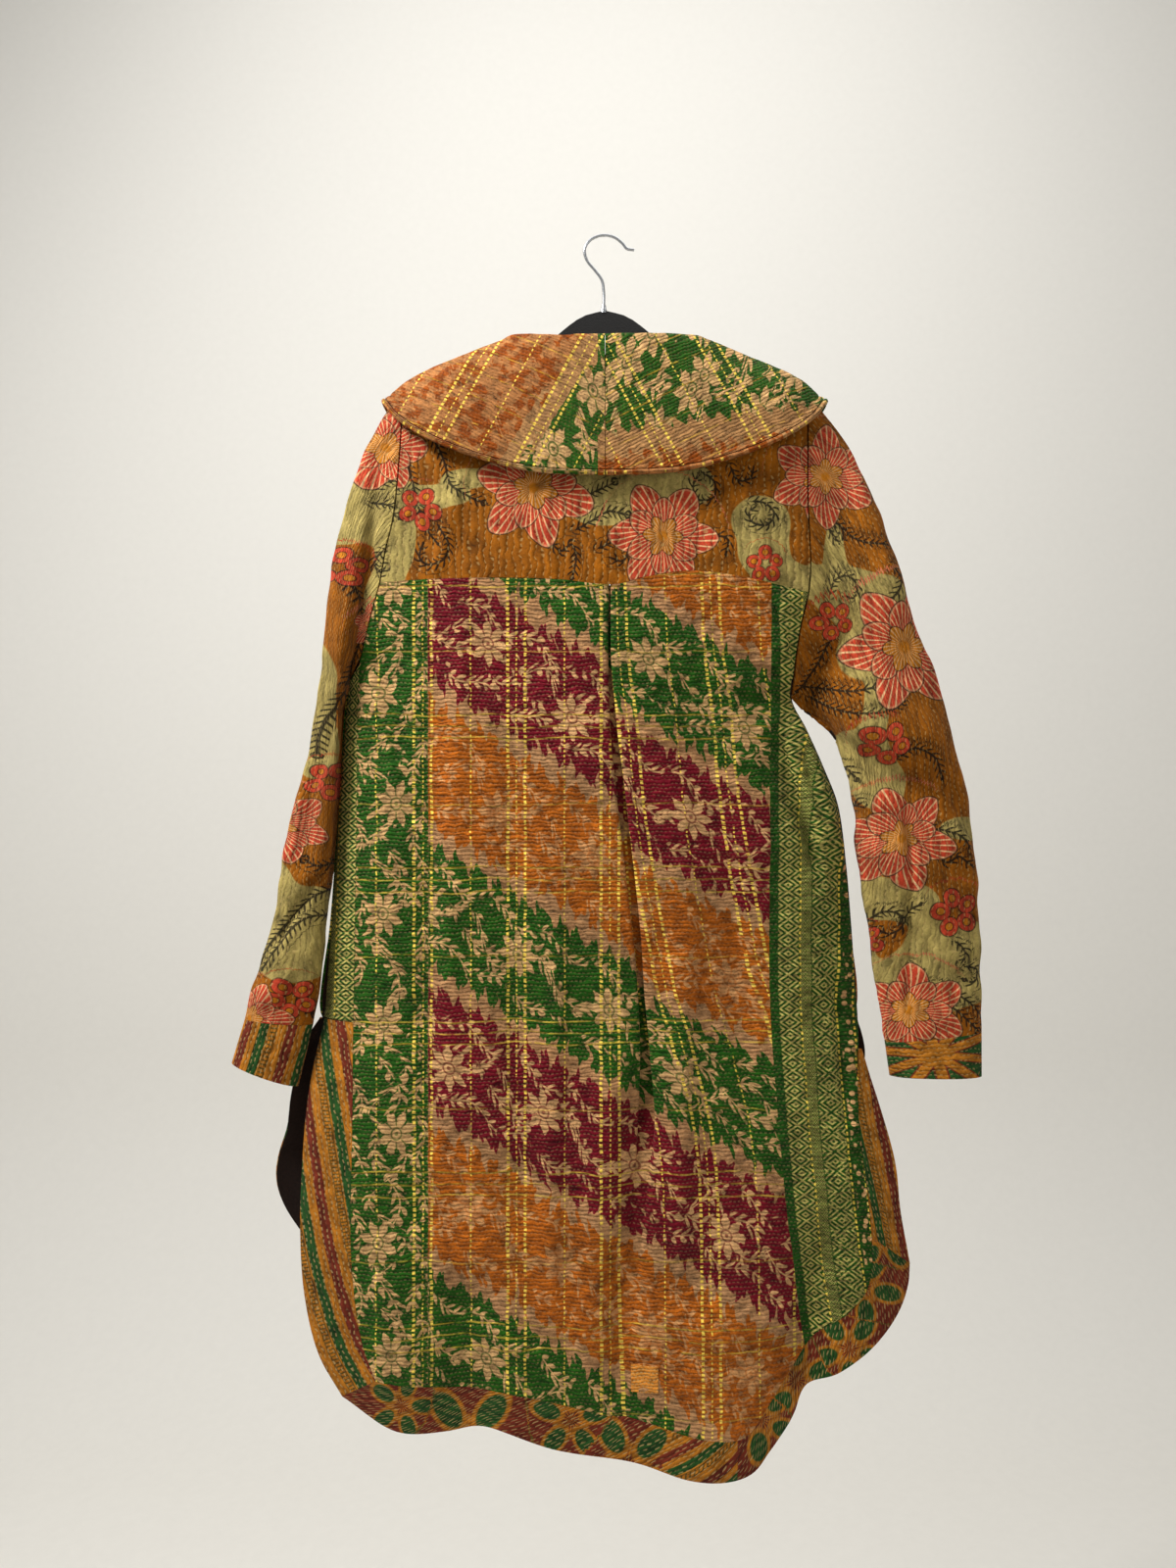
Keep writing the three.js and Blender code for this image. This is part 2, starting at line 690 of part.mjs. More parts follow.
function hangerHook() {
  const points = HOOK.map((row) => new THREE.Vector3(row.x, 0, row.z));
  const round = new THREE.Shape();
  round.absarc(0, 0, WIRE / 2, 0, 2 * Math.PI);
  const path = new THREE.CatmullRomCurve3(points, false, 'centripetal');
  return new THREE.ExtrudeGeometry(round, {
    steps: HOOK_STEPS,
    curveSegments: WIRE_STEPS,
    bevelEnabled: false,
    extrudePath: path,
  });
}

// Yoke of the back: from the neck and shoulders to its seam, with stitched ridges down it.
const YOKE_COLUMNS = 54;
const YOKE_ROWS = [0, 0.0014, 0.011, 0.036, 0.128, 0.3, 0.5, 0.75, 1];
const UNDER_YOKE = 5; // the armhole's point where the yoke meets the panel
const YOKE_RIDGED_FROM = 4; // the first row with ridges, below the collar

function neckOrShoulder(x) {
  const dip = Math.abs(x) < NECK_HALF ? NECK_DIP * (1 - (x / NECK_HALF) ** 2) : 0;
  const rim = Math.abs(x) < NECK_HALF ? shoulderZ(NECK_HALF) : shoulderZ(x);
  return rim - dip;
}

// A place on straight lines through points that run from left to right, by share of their width.
function alongPoints(points, share) {
  const x = THREE.MathUtils.lerp(points[0].x, points.at(-1).x, share);
  const rows = points.map((p) => ({ x: p.x, z: p.z }));
  let i = 0;
  while (i < rows.length - 2 && rows[i + 1].x < x) i += 1;
  const t = (x - rows[i].x) / (rows[i + 1].x - rows[i].x);
  return new THREE.Vector3(x, 0, THREE.MathUtils.lerp(rows[i].z, rows[i + 1].z, t));
}

function yokeGrid(seamPoints) {
  const left = outline(ARMHOLE_LEFT.slice(0, UNDER_YOKE + 1));
  const right = outline(ARMHOLE_RIGHT.slice(0, UNDER_YOKE + 1));
  const top = (u) => {
    const x = THREE.MathUtils.lerp(ARMHOLE_LEFT[0].x, ARMHOLE_RIGHT[0].x, u);
    return new THREE.Vector3(x, 0, neckOrShoulder(x));
  };
  const foot = (u) => alongPoints(seamPoints, u);
  const place = between(top, foot, left, right);
  return YOKE_ROWS.map((v) => steps(YOKE_COLUMNS).map((u) => {
    const p = place(u, v);
    p.z += YOKE_GAP * v;
    return onBody(p, -1);
  }));
}

function yoke(seamPoints) {
  const lean = { top: new THREE.Vector3(0, 0, 1) };
  const raise = ridges(YOKE_RIDGED_FROM, YOKE_ROWS.length - 1);
  return cloth(facingBack(yokeGrid(seamPoints)), CLOTH, { raise, lean });
}

// Back panel: two halves joined by the centre pleat, which is folded in behind them.
const PANEL_ROWS = 23;
const HALF_COLUMNS = 14;
const PLEAT_X = (z) => read(PLEAT, 'z', 'x', z);
const PLEAT_TOP = 0.524; // share of the yoke seam where the pleat's left edge meets it
const PLEAT_FOOT = 0.387; // share of the foot seam where the pleat ends

// The pleat's section at a height: straights and turns one after another, each turn in two chords.
function pleatPath(z) {
  const full = THREE.MathUtils.degToRad(read(PLEAT, 'z', 'turn', z));
  const tuck = read(PLEAT, 'z', 'tuck', z);
  const slit = read(PLEAT, 'z', 'slit', z);
  const moves = [
    { turn: full },
    { straight: tuck },
    { turn: -full },
    { straight: 2 * tuck + slit },
    { turn: -full },
    { straight: tuck },
    { turn: full },
  ];
  const path = [];
  const at = { x: 0, y: 0, heading: 0 };
  const keep = () => path.push({ x: at.x, y: at.y });
  keep();
  for (const move of moves) {
    if (move.straight) {
      at.x += move.straight * Math.cos(at.heading);
      at.y += move.straight * Math.sin(at.heading);
      keep();
      continue;
    }
    const chord = 2 * PLEAT_TURN * Math.sin(Math.abs(move.turn) / 4);
    for (let half = 0; half < 2; half += 1) {
      at.x += chord * Math.cos(at.heading + move.turn / 4);
      at.y += chord * Math.sin(at.heading + move.turn / 4);
      at.heading += move.turn / 2;
      keep();
    }
  }
  return path;
}

function panelEdges() {
  const seam = outline(YOKE_SEAM);
  const below = (armhole) => armhole.slice(UNDER_YOKE, armhole.length - 1);
  const strips = [...seamSide(SIDE_STRIP), ...seamSide(BORDER_LEFT).slice(1)];
  const left = outline([...below(ARMHOLE_LEFT), ...strips]);
  const right = outline([...below(ARMHOLE_RIGHT), ...RIGHT_SIDE, ...seamSide(BORDER_RIGHT).slice(1)]);
  const foot = outline(seamSide(BORDER_FOOT));
  return { seam, split: PLEAT_TOP, pleatFoot: PLEAT_FOOT, foot, left, right };
}

function seamSide(rows) {
  return rows.map((row) => ({ x: row.ix, z: row.iz }));
}

function panelGrid() {
  const edge = panelEdges();
  const top = edge.seam(edge.split);
  const end = edge.foot(edge.pleatFoot);
  const pleatZ = (v) => THREE.MathUtils.lerp(top.z, end.z, v);
  const shift = (v) => {
    const ends = THREE.MathUtils.lerp(top.x - PLEAT_X(top.z), end.x - PLEAT_X(end.z), v);
    return PLEAT_X(pleatZ(v)) + ends;
  };
  const pleatLeft = (v) => new THREE.Vector3(shift(v), 0, pleatZ(v));
  const span = (v) => pleatPath(pleatZ(v)).at(-1).x;
  const pleatRight = (v) => pleatLeft(v).add(new THREE.Vector3(span(v), 0, 0));
  const topRight = (u) => {
    const p = edge.seam(THREE.MathUtils.lerp(edge.split, 1, u));
    p.x += span(0) * (1 - u);
    return p;
  };
  const footRight = (u) => {
    const p = edge.foot(THREE.MathUtils.lerp(edge.pleatFoot, 1, u));
    p.x += span(1) * (1 - u);
    return p;
  };
  const topLeft = (u) => edge.seam(u * edge.split);
  const footLeft = (u) => edge.foot(u * edge.pleatFoot);
  const halfLeft = between(topLeft, footLeft, edge.left, pleatLeft);
  const halfRight = between(topRight, footRight, pleatRight, edge.right);
  return steps(PANEL_ROWS).map((v) => {
    const west = steps(HALF_COLUMNS).map((u) => onBody(halfLeft(u, v), -1));
    const east = steps(HALF_COLUMNS).map((u) => onBody(halfRight(u, v), -1));
    const a = west.at(-1);
    const b = east[0];
    const path = pleatPath(pleatZ(v));
    const fold = path.slice(1, -1).map((p) => {
      const share = THREE.MathUtils.clamp(p.x / path.at(-1).x, 0, 1);
      const y = THREE.MathUtils.lerp(a.y, b.y, share) + p.y;
      return new THREE.Vector3(a.x + p.x, y, THREE.MathUtils.lerp(a.z, b.z, share));
    });
    return [...west, ...fold, ...east];
  });
}

// The hem border of the back is made from the panel's own edge points, moved out. Its ends are
// trimmed by half a seam, so that two strips don't touch.
function borderGrid(seamPoints, rows, count) {
  const outer = outline(rows, 'ox', 'oz');
  const flat = seamPoints.map((p) => new THREE.Vector3(p.x, 0, p.z));
  const gone = [0];
  for (let i = 1; i < flat.length; i += 1) gone.push(gone[i - 1] + flat[i].distanceTo(flat[i - 1]));
  const whole = outlineLength(rows);
  const grid = flat.map((point, i) => {
    const edge = outer(1 - (gone.at(-1) - gone[i]) / whole);
    const away = edge.clone().sub(point).normalize();
    const start = point.clone().addScaledVector(away, BORDER_GAP);
    return steps(count).map((t) => start.clone().lerp(edge, t));
  });
  trimEnds(grid);
  return grid.map((row) => row.map((place) => onBody(place, -1)));
}

function outlineLength(rows) {
  const points = rows.map((row) => new THREE.Vector3(row.ix, 0, row.iz));
  return new THREE.CatmullRomCurve3(points, false, 'centripetal').getLength();
}

function trimEnds(grid) {
  for (const [end, next] of [[0, 1], [grid.length - 1, grid.length - 2]]) {
    grid[end].forEach((p, j) => {
      const along = grid[next][j].clone().sub(p).normalize();
      p.addScaledVector(along, BORDER_GAP);
    });
  }
}

function addBack() {
  const grid = panelGrid();
  const foot = grid.at(-1);
  const visible = (row) => row.filter((_, j) => j <= HALF_COLUMNS || j >= row.length - 1 - HALF_COLUMNS);
  add('back_yoke', yoke(visible(grid[0])), COLOURS.ochre);
  const sewn = (p) => p.z < UNDERARM && p.z > VENT_TOP;
  const outward = (i) => (sewn(grid[i].at(-1)) ? new THREE.Vector3(1, 0, 0) : null);
  add('back_panel', cloth(facingBack(grid), CLOTH, { lean: { first: outward } }), COLOURS.green);
  const leftEdge = grid.map((row) => row[0]);
  const rightEdge = grid.map((row) => row.at(-1));
  const stripStart = leftEdge.findIndex((p) => p.z < SIDE_STRIP[0].iz);
  const borderStart = leftEdge.findIndex((p) => p.z < BORDER_LEFT[0].iz);
  const tip = rightEdge.findIndex((p) => p.z < BORDER_RIGHT[0].iz);
  const strips = [
    ['side_strip_left', leftEdge.slice(stripStart, borderStart + 1), SIDE_STRIP, COLOURS.green],
    ['hem_border_back_left', leftEdge.slice(borderStart), BORDER_LEFT, COLOURS.stripe],
    ['hem_border_back_foot', visible(foot), BORDER_FOOT, COLOURS.maroon],
  ];
  for (const [name, points, rows, colour] of strips) {
    const strip = borderGrid(points, rows, BORDER_COLUMNS);
    const lean = { last: (i) => (sewn(strip[i].at(-1)) ? new THREE.Vector3(-1, 0, 0) : null) };
    add(name, cloth(strip, CLOTH, { lean }), colour);
  }
  const right = borderGrid(rightEdge.slice(tip), BORDER_RIGHT, BORDER_COLUMNS);
  add('hem_border_back_right', cloth(facingBack(right), CLOTH), COLOURS.stripe);
}

// Fronts: the same way as the yoke, on the other side of the hanger, with plain hems.
const FRONT_COLUMNS = 10;
const FRONT_ROWS = [
  0, 0.0003, 0.0022, 0.0075, 0.027, 0.07, 0.12, 0.17, 0.21, 0.25, 0.28, 0.295, 0.31,
  0.33, 0.38, 0.44, 0.5, 0.57, 0.64, 0.71, 0.78, 0.84, 0.9, 0.95, 1,
];

function frontGrid(sign) {
  const armhole = sign < 0 ? ARMHOLE_LEFT : ARMHOLE_RIGHT;
  const lower = sign < 0 ? FRONT_SIDE_LEFT : FRONT_SIDE_RIGHT;
  const middle = outline(FRONT_EDGE);
  const side = outline([...armhole, ...lower.slice(1)]);
  const top = (u) => {
    const x = sign * THREE.MathUtils.lerp(NECK_HALF, SHOULDER_TIP, u);
    return new THREE.Vector3(x, 0, shoulderZ(x));
  };
  const inside = (v) => {
    const p = middle(v);
    p.x *= sign;
    return p;
  };
  const foot = (u) => {
    const p = inside(1).lerp(side(1), u);
    p.z -= read(FRONT_FOOT, 'share', 'rise', u);
    return p;
  };
  const place = between(top, foot, inside, side);
  return FRONT_ROWS.map((v) => steps(FRONT_COLUMNS).map((u) => onBody(place(u, v), 1)));
}

function addFront(name, sign) {
  const grid = frontGrid(sign);
  const face = (rows) => (sign > 0 ? rows : facingBack(rows));
  const sewn = (p) => p.z < UNDERARM && p.z > VENT_TOP;
  const out = (i) => (sewn(grid[i].at(-1)) ? new THREE.Vector3(sign, 0, 0) : null);
  const lean = { top: new THREE.Vector3(0, 0, 1), [sign > 0 ? 'last' : 'first']: out };
  add(`front_${name}`, cloth(face(grid), CLOTH, { lean }), COLOURS.green);
  const sidePoints = grid.map((row) => row.at(-1)).filter((p) => p.z < VENT_TOP);
  const footPoints = [...grid.at(-1)].reverse().slice(1);
  const path = [...sidePoints, ...footPoints];
  const widths = sign < 0 ? FRONT_BORDER_LEFT : FRONT_BORDER_RIGHT;
  const border = path.map((point, i) => {
    const before = path[Math.max(i - 1, 0)];
    const after = path[Math.min(i + 1, path.length - 1)];
    const along = after.clone().sub(before).setY(0).normalize();
    const away = new THREE.Vector3(-sign * along.z, 0, sign * along.x);
    const width = read(widths, 'share', 'width', i / (path.length - 1));
    return steps(BORDER_COLUMNS).map((t) => {
      const place = point.clone().addScaledVector(away, BORDER_GAP + t * width);
      return onBody(place, 1);
    });
  });
  add(`hem_border_front_${name}`, cloth(face(border), CLOTH), COLOURS.stripe);
}

// Sleeves are tubes: a ring starts as the armhole and turns into a flattened round.
const RING_HALF = 12;
const SLEEVE_ROWS = [
  0, 0.03, 0.08, 0.14, 0.2, 0.26, 0.32, 0.37, 0.42, 0.47, 0.52, 0.58, 0.65, 0.73, 0.82, 0.91, 1,
];
const SLEEVE_RIDGED_FROM = 3; // the first ring with ridges, clear of the armhole

// A ring of places: along the back from the outer edge to the inner one, and back at the front.
function ringOf(place) {
  const ring = [];
  for (let k = 0; k < 2 * RING_HALF; k += 1) {
    const angle = (Math.PI * k) / RING_HALF;
    const u = (1 - Math.cos(angle)) / 2;
    const swell = Math.abs(Math.sin(angle)) ** ARM_ROUNDING;
    ring.push(place(u, swell, angle <= Math.PI ? -1 : 1));
  }
  return ring;
}

function sleeveGrid(sign, sleeve, folds) {
  const armhole = outline(sign < 0 ? ARMHOLE_LEFT : ARMHOLE_RIGHT);
  const outer = outline(sleeve.outer);
  const innerEdge = outline(sleeve.inner);
  const top = (u) => armhole(u).add(new THREE.Vector3(sign * SET_IN, 0, 0));
  const foot = (u) => outer(1).lerp(innerEdge(1), u);
  const shiftTop = (v, edge, end) => edge(v).add(top(end).sub(edge(0)).multiplyScalar(1 - v));
  const place = between(top, foot, (v) => shiftTop(v, outer, 0), (v) => shiftTop(v, innerEdge, 1));
  return SLEEVE_ROWS.map((v) => ringOf((u, swell, side) => {
    const p = place(u, v);
    const middle = read(sleeve.depth, 'v', 'middle', v);
    const half = read(sleeve.depth, 'v', 'half', v);
    const tube = middle + side * (half + (side < 0 ? foldRise(folds, p.x, p.z) : 0)) * swell;
    const joined = bodyY(p.x, p.z, side) * Math.min(swell * ARMHOLE_FULLNESS, 1);
    p.y = THREE.MathUtils.lerp(joined, tube, smoothstep(0, ARM_BLEND, v));
    return p;
  }));
}

// A cuff carries its sleeve's last ring on down, and its front hangs lower than its back.
function cuffGrid(cuff, end) {
  const lerp = THREE.MathUtils.lerp;
  return steps(CUFF_ROWS).map((t) => ringOf((u, swell, side) => {
    const head = { x: lerp(cuff.ox0, cuff.ix0, u), z: lerp(cuff.oz0, cuff.iz0, u) - BORDER_GAP };
    const drop = side > 0 ? CUFF_FRONT_DROP * swell : 0;
    const foot = { x: lerp(cuff.ox1, cuff.ix1, u), z: lerp(cuff.oz1, cuff.iz1, u) - drop };
    const y = end.middle + side * end.half * (1 + CUFF_FLARE * t) * swell;
    return new THREE.Vector3(lerp(head.x, foot.x, t), y, lerp(head.z, foot.z, t));
  }));
}

function addSleeve(name, sign, sleeve) {
  const grid = sleeveGrid(sign, sleeve, SLEEVE_FOLDS[name]);
  const face = (rows) => (sign < 0 ? facingBack(rows) : rows);
  const raise = ridges(SLEEVE_RIDGED_FROM, SLEEVE_ROWS.length - 1);
  add(`sleeve_${name}`, cloth(face(grid), CLOTH, { ring: true, raise }), COLOURS.ochre);
  const cuff = cuffGrid(CUFFS[name], sleeve.depth.at(-1));
  add(`cuff_${name}`, cloth(face(cuff), CLOTH, { ring: true }), COLOURS.stripe);
}

// Collar: sections round the neck, drawn through their five places, in two halves.
const COLLAR_COLUMNS = 20;
// Where each section has its points: 0 at the seam, 1 at the roll, 4 at the edge.
const COLLAR_PLACES = [0, 0.3, 0.6, ...steps(7).map((t) => 1 + 3 * t)];
const COLLAR_LOOSE = 2; // the first places stand free of the body

function collarGrid(sign) {
  const keys = ['seam', 'roll', 'fall', 'low', 'edge'];
  const lines = keys.map((key) => {
    const points = COLLAR.map((row) => new THREE.Vector3(sign * row[key][0], row[key][1], row[key][2]));
    return new THREE.CatmullRomCurve3(points, false, 'centripetal');
  });
  return steps(COLLAR_COLUMNS).map((a) => {
    const crossing = lines.map((line) => line.getPoint(a));
    const section = new THREE.CatmullRomCurve3(crossing, false, 'centripetal');
    return COLLAR_PLACES.map((place, j) => {
      const p = section.getPoint(place / (keys.length - 1));
      return j < COLLAR_LOOSE ? p : clearOfBody(p);
    });
  });
}

// Keeps a place of the collar outside the body's cloth that it lies on.
function clearOfBody(p) {
  if (p.z > shoulderZ(p.x) - COLLAR_FREE) return p;
  const side = p.y < 0 ? -1 : 1;
  const least = Math.abs(bodyY(p.x, p.z, side)) + COLLAR_REST;
  p.y = side * Math.max(Math.abs(p.y), least);
  return p;
}

function addCollar(name, sign) {
  const grid = collarGrid(sign);
  const face = (rows) => (sign < 0 ? facingBack(rows) : rows);
  add(`collar_${name}`, cloth(face(grid), COLLAR_CLOTH), COLOURS.orange);
  const edge = grid.map((row) => row.at(-1));
  const rolled = edge.map((point, i) => {
    const before = edge[Math.max(i - 1, 0)];
    const after = edge[Math.min(i + 1, edge.length - 1)];
    const along = after.clone().sub(before).normalize();
    const down = point.clone().sub(grid[i].at(-2));
    down.addScaledVector(along, -down.dot(along)).normalize();
    const across = along.clone().cross(down);
    const centre = point.clone().addScaledVector(down, PIPE_RADIUS + PIPE_GAP);
    return Array.from({ length: PIPE_SIDES }, (_, k) => {
      const angle = (2 * Math.PI * k) / PIPE_SIDES;
      const p = centre.clone().addScaledVector(down, PIPE_RADIUS * Math.cos(angle));
      return p.addScaledVector(across, PIPE_RADIUS * Math.sin(angle));
    });
  });
  add(`collar_roll_${name}`, solidTube(rolled), COLOURS.maroon);
}

// Closes rings of points into a solid rod with flat ends.
function solidTube(rings) {
  const n = rings[0].length;
  const faces = [];
  for (let i = 0; i < rings.length - 1; i += 1) {
    for (let j = 0; j < n; j += 1) {
      const a = i * n + j;
      const b = i * n + ((j + 1) % n);
      faces.push(a, b, b + n, a, b + n, a + n);
    }
  }
  const end = (rings.length - 1) * n;
  for (let j = 1; j < n - 1; j += 1) {
    faces.push(0, j + 1, j, end, end + j, end + j + 1);
  }
  const geometry = new THREE.BufferGeometry();
  const flat = rings.flat().flatMap((p) => [p.x, p.y, p.z]);
  geometry.setAttribute('position', new THREE.Float32BufferAttribute(flat, 3));
  geometry.setIndex(faces);
  return geometry;
}

// A small square sewn on the panel, made from the panel's form and moved out.
function patchGrid() {
  const lift = CLOTH / 2 + SEAM + PATCH_CLOTH / 2 + PATCH_LIFT;
  return steps(PATCH.rows).map((v) => steps(PATCH.columns).map((u) => {
    const x = THREE.MathUtils.lerp(PATCH.x0, PATCH.x1, u);
    const p = onBody({ x, z: THREE.MathUtils.lerp(PATCH.z1, PATCH.z0, v) }, -1);
    p.y -= lift;
    return p;
  }));
}

coat.name = 'kantha_coat';
add('hanger_body', hangerBody(), COLOURS.velvet, 1.0);
add('hanger_hook', hangerHook(), COLOURS.wire, 0.25, 1.0);
addBack();
for (const [name, sign, sleeve] of [['left', -1, SLEEVE_LEFT], ['right', 1, SLEEVE_RIGHT]]) {
  addFront(name, sign);
  addSleeve(name, sign, sleeve);
  addCollar(name, sign);
}
add('patch', cloth(facingBack(patchGrid()), PATCH_CLOTH), COLOURS.orange);

export default coat;
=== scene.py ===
import math

import bpy
import numpy as np
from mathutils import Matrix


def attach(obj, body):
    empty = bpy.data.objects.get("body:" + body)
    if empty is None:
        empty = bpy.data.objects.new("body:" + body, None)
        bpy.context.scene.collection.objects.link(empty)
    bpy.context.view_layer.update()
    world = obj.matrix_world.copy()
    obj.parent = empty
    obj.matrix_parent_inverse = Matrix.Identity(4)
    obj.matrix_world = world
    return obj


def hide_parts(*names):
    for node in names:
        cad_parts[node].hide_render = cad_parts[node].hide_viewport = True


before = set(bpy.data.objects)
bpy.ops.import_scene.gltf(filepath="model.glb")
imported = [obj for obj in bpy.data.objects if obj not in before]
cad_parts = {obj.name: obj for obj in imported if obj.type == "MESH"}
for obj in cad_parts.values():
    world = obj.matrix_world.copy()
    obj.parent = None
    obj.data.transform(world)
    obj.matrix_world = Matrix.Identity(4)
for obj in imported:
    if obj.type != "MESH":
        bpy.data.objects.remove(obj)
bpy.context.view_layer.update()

MM = 0.001
CLOTH = 2.4
COLLAR_CLOTH = 3.2
PATCH_CLOTH = 1.0
SEAM = 0.3
SET_IN = 1.7
YOKE_GAP = 0.2
BORDER_GAP = 0.3
HANGER_CLEAR = 3.3
PIPE_RADIUS = 2.6
PIPE_GAP = 0.5
PLEAT_TURN = 2.1
GIRTH_SQUARENESS = 2.5
GIRTH_ROUNDING = 0.6
NECK_HALF = 78
NECK_DIP = 15
SHOULDER_TIP = 204
UNDERARM = -452
VENT_TOP = -793
ARM_BLEND = 0.3
ARM_ROUNDING = 0.9
CUFF_FLARE = 0.1
CUFF_FRONT_DROP = 9
COLLAR_REST = 4.2
WIRE = 3.0
# Meshes: points of a spline for each of its own, and columns of the outer face for one inside.
DENSITY = 40
INNER_STEP = 2
SHARP_EDGE = math.radians(50)
LATTICE = 64
# Finish of all cloth, and the shaders' angles and finest weave.
SHEEN_ROUGHNESS = 0.5
SPECULAR = 0.12
FULL_TURN = 6.2832
FIFTH_TURN = 1.2566
FINE_WAVE = 6.28 / 0.9

# Camera: in front of the back of the coat, level, at the photo's distance.
CAMERA = (-17, -1197, -557)
FOCAL_UNITS = 1199.8
VIEW_HEIGHT = 1600
VIEW_MIDDLE = (600, 800)
SENSOR = 36.0


def table(columns, *rows):
    return dict(zip(columns.split(), np.array(rows, float).T))


HANGER_EDGE = table("x z", (0, -76), (20, -81), (40, -94), (58, -109), (78, -118), (110, -126),
                    (141, -134), (176, -150), (205, -165), (216, -173))
BODY_DEPTH = table("drop back front", (0, 0, 0), (0.25, 3.2, 3.2), (2, 6, 6), (7, 10, 9), (25, 18, 15),
                   (80, 29, 20), (200, 38, 24), (330, 46, 27), (480, 52, 29), (700, 50, 29),
                   (900, 46, 28), (1150, 42, 28))
GIRTH = table("z left right frontLeft frontRight",
              (-150, -240, 238, -240, 238), (-280, -262, 262, -262, 262), (-350, -276, 272, -276, 272),
              (-400, -272, 246, -272, 246), (-451, -260, 206, -260, 206), (-470, -261, 190, -262, 190),
              (-500, -263, 204, -265, 204), (-540, -266, 222, -269, 222), (-580, -269, 237, -272, 238),
              (-640, -272, 245, -276, 247), (-700, -276, 250, -280, 252), (-793, -284, 257, -290, 258),
              (-850, -298, 268, -309, 261), (-900, -306, 288, -320, 264), (-945, -310, 300, -340, 268),
              (-1000, -314, 312, -342, 272), (-1030, -315, 316, -342, 274),
              (-1260, -318, 320, -342, 276))
SIDE_GAP = table("z back front", (-780, SEAM / 2, SEAM / 2), (-800, 1.5, 6), (-830, 4, 11),
                 (-950, 7, 12))
PLEAT = table("z x tuck slit turn",
              (-361, 1, 30, 7.4, 180), (-430, 0, 29, 9, 180), (-500, 2, 26, 13, 180),
              (-564, 8, 24, 15, 180), (-650, 18, 19, 15, 180), (-740, 28, 12, 13, 180),
              (-820, 32, 6, 10, 150), (-890, 30, 4, 7, 95), (-960, 24, 3, 6, 55),
              (-1060, 14, 3, 6, 28), (-1200, 2, 3, 6, 14))
PLEAT_TOP = 0.524
PLEAT_FOOT = 0.387

# Folds as soft ridges and troughs: from x0, z0 to x1, z1, a half width and a rise outwards.
BACK_FOLDS = [
    (40, -800, 14, -1150, 13, -7), (4, -800, -18, -1140, 17, 6), (158, -500, 214, -640, 10, -9),
    (176, -490, 232, -640, 12, 6), (172, -380, 166, -520, 13, 6), (100, -1060, 108, -1255, 48, 15),
    (208, -1000, 194, -1165, 22, -15), (-140, -1050, -128, -1210, 26, -7),
    (-208, -1020, -204, -1200, 30, 8), (-214, -480, -222, -980, 22, 5),
    (-168, -450, -176, -1000, 14, -4), (96, -430, 120, -960, 24, -4),
]
SLEEVE_FOLDS = {
    "left": [(-232, -240, -240, -420, 10, -5), (-286, -500, -300, -640, 9, -4),
             (-318, -660, -330, -780, 12, 4)],
    "right": [(212, -462, 350, -532, 24, 10), (240, -520, 355, -578, 20, -9),
              (275, -560, 300, -680, 18, 4), (330, -610, 345, -760, 20, 4),
              (220, -390, 300, -450, 20, -5)],
}

# Creases too fine for the solid: the same columns as the folds.
CREASING = 1.6
BACK_CREASES = [
    (165, -372, 200, -458, 5, -2.5), (176, -400, 190, -470, 4, 2.2), (79, -653, 69, -1035, 14, 3),
    (122, -605, 146, -988, 12, -3), (-141, -385, -156, -844, 12, 2.4), (-94, -461, -84, -1035, 16, -2.4),
    (-46, -653, -55, -1083, 10, 2.4), (-247, -404, -189, -519, 6, -2.4), (-236, -440, -205, -560, 5, 2),
    (-180, -1064, -55, -1122, 9, 2), (40, -1090, 130, -1120, 10, -2), (-141, -251, -170, -356, 7, 1.8),
    (2, -245, 21, -356, 8, -1.5), (136, -251, 174, -366, 8, 2), (-60, -262, -52, -350, 6, 1.3),
    (88, -262, 96, -350, 6, -1.3), (206, -560, 236, -760, 7, 2.6), (222, -640, 240, -900, 6, -2.4),
    (196, -520, 216, -600, 4, -2.6), (60, -400, 150, -470, 9, 1.6), (-120, -700, -20, -760, 11, 1.6),
    (190, -484, 238, -640, 9, 4), (172, -500, 212, -640, 7, -4), (-20, -800, 90, -860, 9, 1.8),
    (-150, -900, -30, -960, 9, -1.6), (60, -520, 160, -560, 8, -1.6),
]
SLEEVE_CREASES = {
    "left": [(-262, -470, -290, -560, 6, -3), (-300, -560, -320, -640, 7, 3),
             (-285, -650, -330, -720, 6, -3), (-225, -220, -235, -400, 7, -3),
             (-310, -740, -345, -780, 6, 2), (-240, -280, -262, -420, 6, 2.4)],
    "right": [(202, -464, 335, -560, 11, 4), (206, -490, 322, -586, 10, -4.2),
              (262, -560, 350, -650, 7, -4), (258, -610, 330, -690, 9, 4),
              (300, -700, 360, -760, 8, -3), (262, -640, 300, -760, 7, -3),
              (300, -590, 303, -780, 5, -3.5), (250, -240, 290, -380, 12, 3),
              (214, -230, 224, -380, 7, -3), (330, -560, 366, -640, 6, 3)],
}

ARMHOLE_LEFT = [(-204, -162), (-204, -193), (-206, -238), (-211, -291), (-218, -321), (-224, -356),
                (-233, -388), (-244, -428), (-258, -452)]
ARMHOLE_RIGHT = [(204, -162), (203, -215), (202, -260), (203, -300), (204, -340), (202, -366),
                 (194, -400), (190, -430), (188, -468)]
YOKE_SEAM = [(-224, -356), (-172, -354), (-94, -354), (-46, -356), (4, -361), (31, -354), (80, -347),
             (138, -353), (172, -360), (202, -366)]
